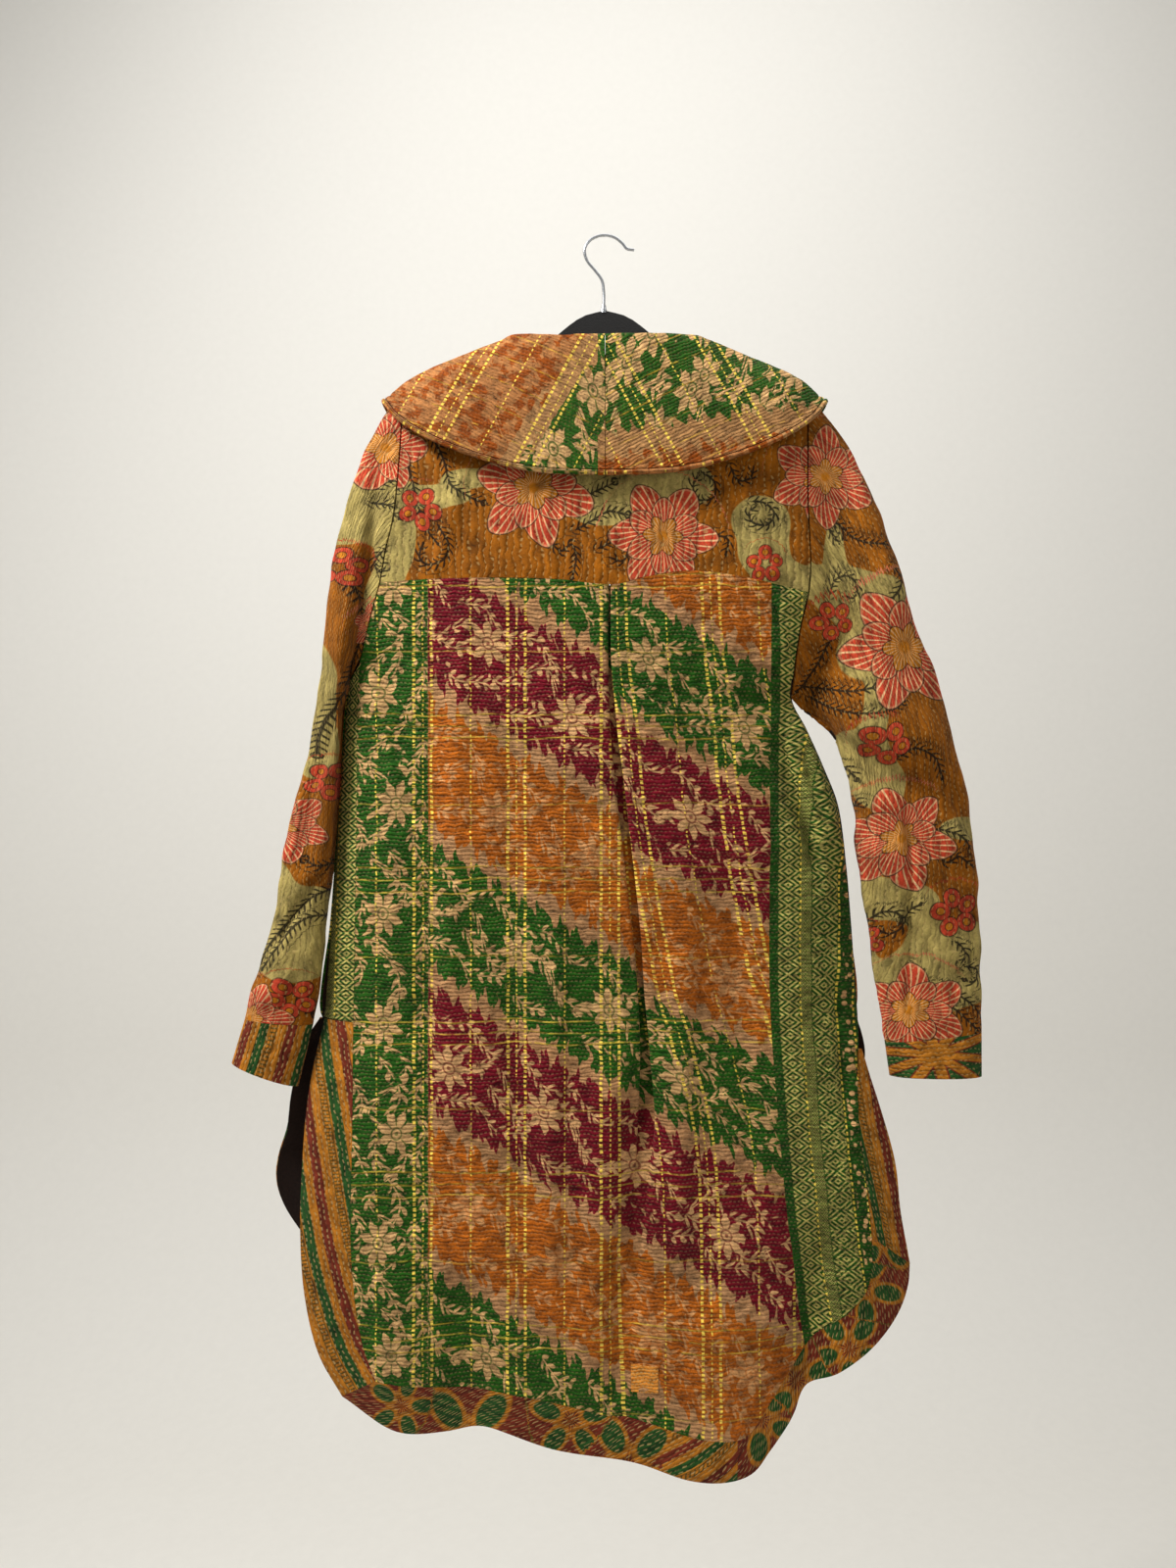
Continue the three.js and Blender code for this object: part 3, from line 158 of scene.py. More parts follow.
# Borders: the seam that joins each to the panel, and its outer edge.
BORDER_LEFT = [(-250, -793, -283, -793), (-249, -867, -298, -870), (-250, -940, -304, -950),
               (-251, -1007, -305, -1012), (-247, -1062, -300, -1070), (-239, -1107, -285, -1124),
               (-225, -1143, -260, -1163)]
BORDER_FOOT = [(-225, -1143, -260, -1163), (-195, -1145, -203, -1191), (-151, -1148, -156, -1191),
               (-107, -1151, -115, -1187), (-42, -1162, -46, -1207), (21, -1178, 27, -1218),
               (84, -1190, 84, -1231), (122, -1190, 140, -1228), (142, -1170, 160, -1208),
               (160, -1147, 183, -1177), (177, -1129, 197, -1152), (202, -1100, 231, -1137),
               (236, -1078, 266, -1114), (255, -1058, 292, -1084), (263, -1030, 303, -1058),
               (264, -1006, 305, -1037)]
BORDER_RIGHT = [(254, -822, 258, -823), (251, -877, 277, -885), (255, -925, 291, -938),
                (260, -965, 295, -983), (264, -1006, 305, -1037)]
SIDE_STRIP = [(-246, -436, -258, -453), (-248, -480, -264, -510), (-248, -600, -269, -580),
              (-249, -700, -276, -692), (-250, -793, -284, -793)]
RIGHT_SIDE = [(188, -469), (203, -500), (221, -540), (236, -580), (244, -640), (249, -700), (255, -793),
              (254, -822)]
FRONT_EDGE = [(78, -115.8), (72, -150), (54, -220), (33, -310), (12, -430), (5, -500), (4, -760),
              (4, -1052)]
FRONT_SIDE = {
    "left": [(-259, -453), (-270, -580), (-279, -700), (-289, -793), (-276, -860), (-280, -920),
             (-292, -962), (-270, -1008)],
    "right": [(188, -469), (236, -580), (249, -700), (255, -793), (228, -860), (226, -920), (226, -970),
              (206, -1014)],
}
FRONT_FOOT = table("share rise", (0, 0), (0.35, 3), (0.7, 6), (1, 0))
FRONT_BORDER = {
    "left": table("share width", (0, 2), (0.08, 36), (0.2, 47), (0.5, 44), (1, 38)),
    "right": table("share width", (0, 2), (0.08, 28), (0.2, 40), (0.5, 44), (1, 38)),
}
SLEEVES = {
    "left": {
        "outer": [(-204, -166), (-214, -177), (-226, -193), (-240, -222), (-258, -272), (-272, -337),
                  (-279, -397), (-286, -457), (-296, -517), (-308, -577), (-322, -637), (-333, -697),
                  (-350, -752), (-361, -793)],
        "inner": [(-260, -451), (-271, -462), (-273, -517), (-276, -563), (-278, -617), (-282, -687),
                  (-289, -757), (-295, -798)],
        "depth": table("v middle half", (0, 0, 20), (0.2, -3, 25), (0.45, -6, 22), (0.75, -9, 19),
                       (1, -13, 15)),
        "cuff": (-361, -793, -295, -798, -374, -837, -310, -860),
    },
    "right": {
        "outer": [(204, -166), (214, -177), (227, -193), (245, -220), (268, -278), (290, -338),
                  (309, -397), (333, -457), (348, -517), (362, -567), (369, -617), (376, -697),
                  (377, -757), (379, -806)],
        "inner": [(191, -466), (214, -492), (238, -526), (252, -565), (256, -616), (260, -655),
                  (267, -694), (274, -753), (284, -816)],
        "depth": table("v middle half", (0, 0, 20), (0.2, -6, 30), (0.45, -10, 28),
                       (0.75, -9, 22), (1, -9, 17)),
        "cuff": (379, -806, 284, -816, 379, -851, 289, -850),
    },
}
# Sections of the collar from the centre back to its front end: seam, roll, fall, low, edge.
COLLAR = [
    [(0.3, -26, -129.2), (0.3, -31, -112), (0.3, -42, -184), (0.3, -46, -222), (0.3, -49, -250)],
    [(40, -23.6, -124), (44, -29, -111), (55, -41, -183), (63, -45, -219), (70, -47, -246)],
    [(66, -13, -115.4), (76, -20, -108), (98, -35, -173), (114, -39, -206), (130, -42, -230)],
    [(76, -5, -109.6), (94, -11, -106), (132, -27, -156), (158, -31, -184), (180, -33, -207)],
    [(78, -2.5, -108.8), (97, -6, -106.5), (150, -15, -137), (184, -18, -160), (207, -19, -186)],
    [(79, 0, -108.4), (98, 0, -106.5), (160, 0, -129), (200, 0, -148), (222, -1, -166)],
    [(78, 2.5, -108.8), (96, 6, -106.5), (150, 15, -137), (186, 18, -160), (212, 18, -186)],
    [(77, 5, -109.8), (93, 11, -107), (132, 25, -158), (164, 28, -188), (192, 28, -216)],
    [(70, 14, -122), (80, 21, -118), (106, 31, -190), (128, 34, -234), (152, 35, -276)],
    [(54, 26, -213), (60, 30, -206), (78, 34, -256), (93, 36, -302), (110, 37, -344)],
    [(34, 29.5, -308), (40, 33, -304), (52, 36, -345), (61, 37, -384), (70, 38, -416)],
    [(16, 32, -408), (19, 35, -406), (25, 37, -424), (30, 38, -444), (34, 39, -462)],
]
HOOK = [(-1, -75.6), (-1, -56), (-3, -44), (-10, -34), (-18, -24), (-20.5, -13), (-15.5, -4), (-7, 0.6),
        (1, 1.5), (10, -0.6), (18, -6.6), (22.5, -12), (30, -13.5)]
PATCH = {"x0": 25, "x1": 51, "z0": -1148, "z1": -1122}


# Curves and surfaces
def read(rows, key, column, at):
    """Reads a column of a table at places along its key column, on a smooth curve through the rows."""
    k, c = rows[key], rows[column]
    if k[-1] < k[0]:
        k, c = k[::-1], c[::-1]
    at = np.clip(at, k[0], k[-1])
    slope = np.diff(c) / np.diff(k)
    before, after = np.r_[slope[0], slope], np.r_[slope, slope[-1]]
    same = before * after > 0
    ease = np.where(same, 2 * before * after / np.where(same, before + after, 1), 0)
    i = np.clip(np.searchsorted(k, at, side="right") - 1, 0, len(k) - 2)
    step = k[i + 1] - k[i]
    t = (at - k[i]) / step
    rise = c[i + 1] - c[i]
    bend = ease[i] * step - rise
    turn = rise - ease[i + 1] * step
    return c[i] + t * (rise + (1 - t) * (bend * (1 - t) + turn * t))


def smoothstep(a, b, x):
    t = np.clip((x - a) / (b - a), 0, 1)
    return t * t * (3 - 2 * t)


def lerp(a, b, t):
    return a + (b - a) * t


def spline(points, at):
    """A centripetal spline through points, at places where 1 is one point on."""
    p = np.array(points, float)
    p = np.vstack([2 * p[0] - p[1], p, 2 * p[-1] - p[-2]])
    i = np.clip(np.floor(at).astype(int), 0, len(p) - 4)
    t = (at - i)[:, None]
    a, b, c, d = p[i], p[i + 1], p[i + 2], p[i + 3]
    gap = [np.linalg.norm(y - x, axis=1)[:, None] ** 0.5 for x, y in ((a, b), (b, c), (c, d))]
    start = ((b - a) / gap[0] - (c - a) / (gap[0] + gap[1]) + (c - b) / gap[1]) * gap[1]
    end = ((c - b) / gap[1] - (d - b) / (gap[1] + gap[2]) + (d - c) / gap[2]) * gap[1]
    return b + start * t + (3 * (c - b) - 2 * start - end) * t**2 + (2 * (b - c) + start + end) * t**3


def run_along(line):
    """How far along a line each of its points is."""
    return np.r_[0, np.cumsum(np.linalg.norm(np.diff(line, axis=0), axis=1))]


def outline(points):
    """The same spline as a function of the share of its length."""
    dense = spline(points, np.linspace(0, len(points) - 1, DENSITY * len(points)))
    gone = run_along(dense)

    def place(share):
        at = np.clip(share, 0, 1) * gone[-1]
        return np.stack([np.interp(at, gone, dense[:, k]) for k in range(dense.shape[1])], axis=-1)

    place.length = gone[-1]
    return place


def between(top, foot, left, right, u, v):
    """Places inside four edges that meet at their ends: u runs across and v down."""
    t, f, l, r = top(u)[None], foot(u)[None], left(v)[:, None], right(v)[:, None]
    across, down = u[None, :, None], v[:, None, None]
    upper = (1 - across) * t[:, :1] + across * t[:, -1:]
    lower = (1 - across) * f[:, :1] + across * f[:, -1:]
    corners = (1 - down) * upper + down * lower
    return (1 - down) * t + down * f + (1 - across) * l + across * r - corners


def shoulder_z(x):
    return read(HANGER_EDGE, "x", "z", np.abs(x)) + HANGER_CLEAR


def fold_rise(folds, x, z):
    rise = np.zeros(np.shape(x))
    for x0, z0, x1, z1, width, height in folds:
        length = math.hypot(x1 - x0, z1 - z0)
        along = ((x - x0) * (x1 - x0) + (z - z0) * (z1 - z0)) / length**2
        beside = ((x - x0) * (z1 - z0) - (z - z0) * (x1 - x0)) / length
        fade = smoothstep(-0.15, 0.2, along) * (1 - smoothstep(0.8, 1.15, along))
        rise += height * fade * np.exp(-((beside / width) ** 2))
    return rise


def body_y(x, z, side, folds=()):
    names = ("left", "right", "back") if side < 0 else ("frontLeft", "frontRight", "front")
    left, right = read(GIRTH, "z", names[0], z), read(GIRTH, "z", names[1], z)
    across = np.minimum(np.abs((2 * x - left - right) / (right - left)), 1)
    swell = (1 - across**GIRTH_SQUARENESS) ** GIRTH_ROUNDING
    depth = read(BODY_DEPTH, "drop", names[2], shoulder_z(x) - z) + fold_rise(folds, x, z)
    return side * (read(SIDE_GAP, "z", names[2], z) + depth * swell)


def on_body(flat, side, folds=()):
    x, z = flat[..., 0], flat[..., 1]
    return np.stack([x, body_y(x, z, side, folds), z], axis=-1)


def print_place(points, y=None):
    """Where points lie in the picture, in print units."""
    y = points[..., 1] if y is None else y
    scale = (y - CAMERA[1]) / FOCAL_UNITS
    across = VIEW_MIDDLE[0] + (points[..., 0] - CAMERA[0]) / scale
    down = VIEW_MIDDLE[1] - (points[..., 2] - CAMERA[2]) / scale
    return np.stack([across, down], axis=-1)


def lumps(place, width, height, seed):
    """Soft random lumps from -1 to 1, of a width and height in print units."""
    lattice = np.random.default_rng(seed).uniform(-1, 1, (LATTICE, LATTICE))
    x, y = place[..., 0] / width, place[..., 1] / height
    i, j = np.floor(x).astype(int), np.floor(y).astype(int)
    s, t = smoothstep(0, 1, x - i), smoothstep(0, 1, y - j)
    i, j, right, under = i % LATTICE, j % LATTICE, (i + 1) % LATTICE, (j + 1) % LATTICE
    upper = lerp(lattice[i, j], lattice[right, j], s)
    lower = lerp(lattice[i, under], lattice[right, under], s)
    return lerp(upper, lower, t)


def crumple(place, waves):
    """Lumps of several sizes together: the rise, width, height and seed of each."""
    return sum(rise * lumps(place, width, height, seed) for rise, width, height, seed in waves)


def unit(v):
    return v / np.maximum(np.linalg.norm(v, axis=-1, keepdims=True), 1e-9)


def normals_of(grid, ring, turn):
    """Outward directions of a grid, from its neighbours. turn is -1 where it faces the other way."""
    if ring:
        across = np.roll(grid, -1, axis=1) - np.roll(grid, 1, axis=1)
    else:
        across = np.gradient(grid, axis=1)
    return turn * unit(np.cross(across, np.gradient(grid, axis=0)))


# Sheets of cloth
def shell(name, grid, wall, place, turn=1, ring=False, lift=0.0, lean=(), prints=None):
    """A closed thin wall round a grid of points, with a coarser inner face. place holds each
    point's print units. lean sets the normals of some points, lift raises the outer face alone."""
    normals = normals_of(grid, ring, turn)
    for rows, columns, direction in lean:
        normals[rows, columns] = direction
    rows, columns = grid.shape[:2]
    outer = grid + normals * (wall / 2 + np.broadcast_to(lift, grid.shape[:2]))[..., None]
    inner = (grid - normals * wall / 2)[::INNER_STEP, ::INNER_STEP]
    points = np.vstack([outer.reshape(-1, 3), inner.reshape(-1, 3)]) * MM
    inner_rows, inner_columns = inner.shape[:2]
    first = rows * columns

    def quads(r, c, start, back):
        spans = c if ring else c - 1
        i, j = np.meshgrid(np.arange(r - 1), np.arange(spans), indexing="ij")
        k = (j + 1) % c
        corners = [i * c + j, i * c + k, (i + 1) * c + k, (i + 1) * c + j]
        corners = corners[::-1] if back else corners
        return start + np.stack([x.ravel() for x in corners], axis=1)

    faces = quads(rows, columns, 0, turn < 0).tolist()
    faces += quads(inner_rows, inner_columns, first, turn > 0).tolist()
    rims = []

    def rim(outer_line, inner_line, back):
        for k in range(len(inner_line) - 1):
            face = outer_line[k * INNER_STEP:(k + 1) * INNER_STEP + 1]
            face += [inner_line[k + 1], inner_line[k]]
            rims.append(face[::-1] if back else face)

    closing = [0] if ring else []
    for i, a, back in ((0, 0, turn > 0), (rows - 1, inner_rows - 1, turn < 0)):
        outer_line = [i * columns + j for j in list(range(columns)) + closing]
        inner_line = [first + a * inner_columns + j for j in list(range(inner_columns)) + closing]
        rim(outer_line, inner_line, back)
    if not ring:
        for j, b, back in ((0, 0, turn < 0), (columns - 1, inner_columns - 1, turn > 0)):
            outer_line = [i * columns + j for i in range(rows)]
            inner_line = [first + i * inner_columns + b for i in range(inner_rows)]
            rim(outer_line, inner_line, back)
    mesh = bpy.data.meshes.new(name)
    mesh.from_pydata(points, [], faces + rims)
    lining = np.zeros(len(faces) + len(rims), int)
    lining[(rows - 1) * (columns if ring else columns - 1):len(faces)] = 1
    mesh.polygons.foreach_set("material_index", lining)
    mesh.shade_smooth()
    mesh.set_sharp_from_angle(angle=SHARP_EDGE)
    fields = {"place": np.dstack([place, np.zeros(place.shape[:2])]), **(prints or {})}
    for key, values in fields.items():
        inner_values = values[::INNER_STEP, ::INNER_STEP].reshape(len(points) - first, -1)
        add_field(mesh, key, np.vstack([values.reshape(first, -1), inner_values]))
    piece = bpy.data.objects.new(name, mesh)
    bpy.context.scene.collection.objects.link(piece)
    return piece


def add_field(mesh, key, values):
    if values.shape[1] == 1:
        field = mesh.attributes.new(key, "FLOAT", "POINT")
        field.data.foreach_set("value", values.astype(np.float32).ravel())
    else:
        field = mesh.attributes.new(key, "FLOAT_VECTOR", "POINT")
        field.data.foreach_set("vector", values.astype(np.float32).ravel())


def side_lean(flat, direction):
    """Turns the last column of a sheet to a direction where the side seam is closed."""
    joined = [i for i in range(len(flat)) if VENT_TOP < flat[i, -1, 1] < UNDERARM]
    return [(i, -1, direction) for i in joined]


def cut_of(grid, ring=False, from_row=0):
    """The flat width and length of a grid's cloth, and its area, in metres."""
    closed = np.concatenate([grid, grid[:, :1]], axis=1) if ring else grid
    width = np.linalg.norm(np.diff(closed, axis=1), axis=2).sum(axis=1)[from_row:].max()
    length = np.linalg.norm(np.diff(closed, axis=0), axis=2).sum(axis=0).max()
    across, down = np.diff(closed, axis=1)[:-1], np.diff(closed, axis=0)[:, :-1]
    area = np.linalg.norm(np.cross(across, down), axis=2).sum()
    return round(width * MM, 3), round(length * MM, 3), float(area * MM * MM)


def sewn(piece, node, materials, grid, ring=False, from_row=0):
    """Puts a sheet of cloth on the coat in the place of its solid."""
    for material in materials:
        piece.data.materials.append(material)
    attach(piece, "root")
    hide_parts(node)
    width, length, area = cut_of(grid, ring, from_row)


# Shader arithmetic, so that prints are written as sums of numbers
class Value:
    def __init__(self, tree, socket):
        self.tree, self.socket = tree, socket

    def math(self, operation, *others):
        node = self.tree.nodes.new("ShaderNodeMath")
        node.operation = operation
        for slot, value in zip(node.inputs, (self, *others)):
            if isinstance(value, Value):
                self.tree.links.new(value.socket, slot)
            else:
                slot.default_value = value
        return Value(self.tree, node.outputs[0])

    def __add__(self, other):
        return self.math("ADD", other)

    def __sub__(self, other):
        return self.math("SUBTRACT", other)

    def __rsub__(self, other):
        return self.math("MULTIPLY", -1.0).math("ADD", other)

    def __mul__(self, other):
        return self.math("MULTIPLY", other)

    def __truediv__(self, other):
        return self.math("DIVIDE", other)

    __radd__, __rmul__ = __add__, __mul__

    def size(self):
        return self.math("ABSOLUTE")

    def fraction(self):
        return self.math("FRACT")

    def centred(self):
        """The fraction, from -0.5 to 0.5."""
        return self.fraction() - 0.5

    def past(self, pitch):
        """How far it is past the nearest line of a set, a pitch apart."""
        return (self / pitch + 0.5).fraction() * pitch - pitch / 2

    def sine(self):
        return self.math("SINE")

    def most(self, other):
        return self.math("MAXIMUM", other)

    def power(self, other):
        return self.math("POWER", other)

    def below(self, edge=0.0, soft=0.6):
        """1 where the value is under the edge and 0 over it, with a soft change."""
        node = self.tree.nodes.new("ShaderNodeMapRange")
        node.interpolation_type = "SMOOTHSTEP"
        self.tree.links.new(self.socket, node.inputs["Value"])
        ends = {"From Min": edge - soft, "From Max": edge + soft, "To Min": 1, "To Max": 0}
        for key, number in ends.items():
            node.inputs[key].default_value = number
        return Value(self.tree, node.outputs["Result"])

    def above(self, edge=0.0, soft=0.6):
        return 1 - self.below(edge, soft)

    def wave(self, pitch, shift=0.0):
        """Distance from the nearest line of a set, a pitch apart."""
        return (self / pitch + (shift + 0.5)).centred().size() * pitch


def length(x, y):
    return (x * x + y * y).math("SQRT")


def around(x, y):
    """Where a place is round the middle, in turns."""
    return y.math("ARCTAN2", x) / FULL_TURN


def five_fold(x, y):
    """Angle and distance from the middle, and the place along and beside the nearest of five petals."""
    turn = y.math("ARCTAN2", x)
    r = length(x, y)
    fold = (turn / FIFTH_TURN + 0.5).centred() * FIFTH_TURN
    return turn, r, r * fold.math("COSINE"), r * fold.sine()


class Drawing:
    """One material's nodes: reads the cloth's fields and mixes colours."""

    def __init__(self, name):
        self.material = bpy.data.materials.new(name)
        self.material.use_nodes = True
        self.tree = self.material.node_tree
        self.tree.nodes.clear()

    def new(self, kind):
        return self.tree.nodes.new(kind)

    def read(self, key):
        """The three numbers of a field."""
        field, split = self.new("ShaderNodeAttribute"), self.new("ShaderNodeSeparateXYZ")
        field.attribute_name = key
        self.tree.links.new(field.outputs["Vector"], split.inputs[0])
        return [Value(self.tree, out) for out in split.outputs]

    def number(self, key):
        field = self.new("ShaderNodeAttribute")
        field.attribute_name = key
        return Value(self.tree, field.outputs["Fac"])

    def point(self, x, y, z=0.0):
        join = self.new("ShaderNodeCombineXYZ")
        for slot, value in zip(join.inputs, (x, y, z)):
            if isinstance(value, Value):
                self.tree.links.new(value.socket, slot)
            else:
                slot.default_value = value
        return join.outputs[0]

    def noise(self, x, y, size, detail=2.0, seed=0.0):
        """Random clouds from 0 to 1."""
        node = self.new("ShaderNodeTexNoise")
        node.inputs["Scale"].default_value = 1.0
        node.inputs["Detail"].default_value = detail
        self.tree.links.new(self.point(x / size, y / size, seed), node.inputs["Vector"])
        return Value(self.tree, node.outputs[0])

    def spots(self, x, y, size, seed=0.0):
        """Distance from the nearest of many scattered points, in their spacing."""
        node = self.new("ShaderNodeTexVoronoi")
        node.inputs["Scale"].default_value = 1.0
        self.tree.links.new(self.point(x / size, y / size, seed), node.inputs["Vector"])
        return Value(self.tree, node.outputs["Distance"])

    def colour(self, value):
        """A colour as a socket or as four numbers."""
        return value if not isinstance(value, str) else linear(value)

    def mix(self, share, base, over):
        node = self.new("ShaderNodeMix")
        node.data_type = "RGBA"
        node.clamp_factor = True
        self.put(share, node.inputs[0])
        self.put(self.colour(base), node.inputs[6])
        self.put(self.colour(over), node.inputs[7])
        return node.outputs[2]

    def shade(self, colour, by):
        """A colour made lighter or darker by a number near 1."""
        node = self.new("ShaderNodeVectorMath")
        node.operation = "SCALE"
        self.put(self.colour(colour)[:3] if isinstance(colour, str) else colour, node.inputs[0])
        self.put(by, node.inputs["Scale"])
        return node.outputs[0]

    def put(self, value, slot):
        if isinstance(value, Value):
            self.tree.links.new(value.socket, slot)
        elif isinstance(value, bpy.types.NodeSocket):
            self.tree.links.new(value, slot)
        else:
            slot.default_value = value

    def finish(self, colour, height=None, rough=0.85, sheen=0.03, metal=0.0):
        shader, out = self.new("ShaderNodeBsdfPrincipled"), self.new("ShaderNodeOutputMaterial")
        self.put(self.colour(colour), shader.inputs["Base Color"])
        self.put(rough, shader.inputs["Roughness"])
        self.put(metal, shader.inputs["Metallic"])
        shader.inputs["Sheen Weight"].default_value = sheen
        shader.inputs["Sheen Roughness"].default_value = SHEEN_ROUGHNESS
        shader.inputs["Specular IOR Level"].default_value = SPECULAR
        if height is not None:
            bump = self.new("ShaderNodeBump")
            bump.inputs["Strength"].default_value = 1.0
            bump.inputs["Distance"].default_value = MM
            self.put(height, bump.inputs["Height"])
            self.tree.links.new(bump.outputs[0], shader.inputs["Normal"])
        self.tree.links.new(shader.outputs[0], out.inputs[0])
        return self.material


def linear(code):
    """A colour written as six hex digits, in Blender's linear numbers."""
    parts = [int(code[i:i + 2], 16) / 255 for i in (1, 3, 5)]
    return (*[c / 12.92 if c <= 0.04045 else ((c + 0.055) / 1.055) ** 2.4 for c in parts], 1.0)


OCHRE, RED, CREAM, INK = "#B06A14", "#B23C24", "#D6A878", "#14120A"
GREEN, MAROON, ORANGE, BEIGE = "#1F4E0C", "#6A0A1A", "#AD5A10", "#CFA06A"
GOLD = "#F0CC52"
BORDER_MAROON, BORDER_OCHRE, BORDER_GREEN, STITCH = "#6B2817", "#A8681A", "#24491C", "#C4A36A"
OCHRE_SHADES, KHAKI_SHADES, FLORAL_STITCH = ("#703E04", "#A25D0A"), ("#86753C", "#B4A05E"), "#E2BE78"
PALE_SHADES, ORANGE_DARK, ROW_GOLD = ("#94663E", "#C09062"), "#87430E", "#C9A83C"
ZARI_SHADES, LACE, BANDED_STITCH = ("#143C09", "#255212"), "#B5A65A", "#D8AE78"
RUNG_GREEN = "#3A3A14"
COLLAR_ORANGE, COLLAR_GREEN, COLLAR_PALE = ("#884006", "#A87342"), "#234E0C", ("#94683F", "#B0824F")
COLLAR_GOLD, COLLAR_DOT, COLLAR_STITCH = "#C79B30", "#4A120C", "#C99A62"
PATCH_SHADES = ("#C26A1A", "#E09A40")
LINING_SHADES, VELVET_SHADES = ("#170B05", "#2A170C"), ("#060505", "#15120F")
CHROME_SHADES, FLOOR_SHADES = ("#B9BCC0", "#D8DADC"), ("#E4E1DA", "#E9E6DF")


def weave(d, colour, x, y, rows, thread, dash, stitch, shown, relief=1.6):
    """Adds weave, rows of running stitch and the ridges between them, with painted shade in the colour:
    lighter on raised puckers and ridges, darker in their hollows and along the stitched lines. Returns
    colour and height.
    rows is how far apart the rows are, thread the grain's size, dash a stitch and its gap,
    and shown how much of the stitch's colour shows."""
    x = x + (d.noise(x, y, 13, 1.0, 12.0) - 0.5) * rows * 1.5
    row = x.wave(rows)
    line = row.below(0.7, 0.4) * d.noise(x, y, 9, 1.0, 13.0).above(0.4, 0.12)
    index = (x / rows + 0.5).math("FLOOR")
    along = (y / dash + index * 0.37 + d.noise(x, y, 40) * 0.6).fraction()
    on = line * along.below(0.55, 0.08)
    grain = d.noise(x, y, thread, 3.0)
    fine = ((x * FINE_WAVE).sine() * (y * FINE_WAVE).sine()) * 0.5
    cloudy = d.noise(x, y, 55, 3.0, 4.0)
    ridge = 1 - (1 - row / (rows / 2)).power(2.0)
    pucker = d.noise(x, y * 0.45, rows * 1.3, 2.0, 21.0)
    # grain and cloudy are the cloth's own uneven tone. pucker here, and ridge below, add painted shade:
    # lighter where the cloth rises, darker in its hollows.
    soft = grain * 0.9 + cloudy * 0.9 + pucker * 2.1
    colour = d.shade(colour, soft + ridge * 0.1 + fine * 0.05 - 1.04)
    # Painted shade: the colour is darkened along the stitched lines, where the quilting sinks into
    # grooves.
    colour = d.mix(line * 0.25, colour, d.shade(colour, 0.5))
    colour = d.mix(on * shown, colour, stitch)
    large = ridge * 0.36 + pucker * 1.1 + cloudy * 0.9
    height = (large + grain * 0.35 + on * 0.14 - line * 0.12) * relief + fine * 0.06
    return colour, height


def on_line(distance, half, soft=0.35):
    return distance.size().below(half, soft)


def camera():
    data = bpy.data.cameras.new("camera")
    data.sensor_fit = "VERTICAL"
    data.sensor_height = SENSOR
    data.lens = FOCAL_UNITS / VIEW_HEIGHT * SENSOR
    data.clip_start = 0.05
    eye = bpy.data.objects.new("camera", data)
    eye.location = [c * MM for c in CAMERA]
    eye.rotation_euler = (math.radians(90), 0, 0)
    bpy.context.scene.collection.objects.link(eye)
    bpy.context.scene.camera = eye


camera()


# Floral cotton: positions in print units
FLOWERS = table("x y radius turn", (546, 500, 56, 0.3), (676, 548, 52, 1.1), (390, 458, 42, 0.0),
                (838, 487, 48, 0.6), (914, 660, 62, 0.9), (910, 856, 50, 0.2), (927, 1032, 46, 0.5),
                (296, 842, 36, 0.4), (262, 1040, 36, 0.0), (372, 640, 22, 0.3))
CLOVERS = table("x y radius turn", (430, 520, 25, 0.2), (780, 577, 21, 0.9), (838, 633, 23, 0.4),
                (892, 757, 24, 0.1), (964, 930, 27, 0.7), (333, 797, 22, 0.2), (300, 1018, 24, 0.5),
                (346, 580, 22, 1.2), (884, 962, 20, 0.3))
BLOBS = table("x y across down", (372, 500, 44, 30), (352, 535, 30, 22), (392, 548, 20, 46),
              (385, 616, 26, 34), (410, 545, 14, 40), (440, 508, 40, 12), (480, 488, 30, 10),
              (640, 505, 66, 26), (690, 490, 34, 22), (612, 512, 30, 20), (775, 532, 30, 26),
              (780, 566, 26, 22), (800, 590, 28, 18), (842, 570, 12, 40), (852, 606, 36, 26),
              (890, 612, 26, 22), (866, 650, 22, 44), (882, 712, 10, 34), (870, 770, 26, 26),
              (892, 800, 22, 26), (976, 845, 26, 12), (894, 916, 38, 22), (930, 925, 18, 18),
              (955, 962, 36, 22), (990, 962, 18, 20), (876, 985, 18, 40), (925, 992, 28, 20),
              (972, 1005, 34, 20), (940, 1020, 26, 20), (322, 705, 16, 60), (310, 940, 44, 36),
              (300, 975, 40, 26), (322, 760, 18, 34), (285, 905, 16, 30))
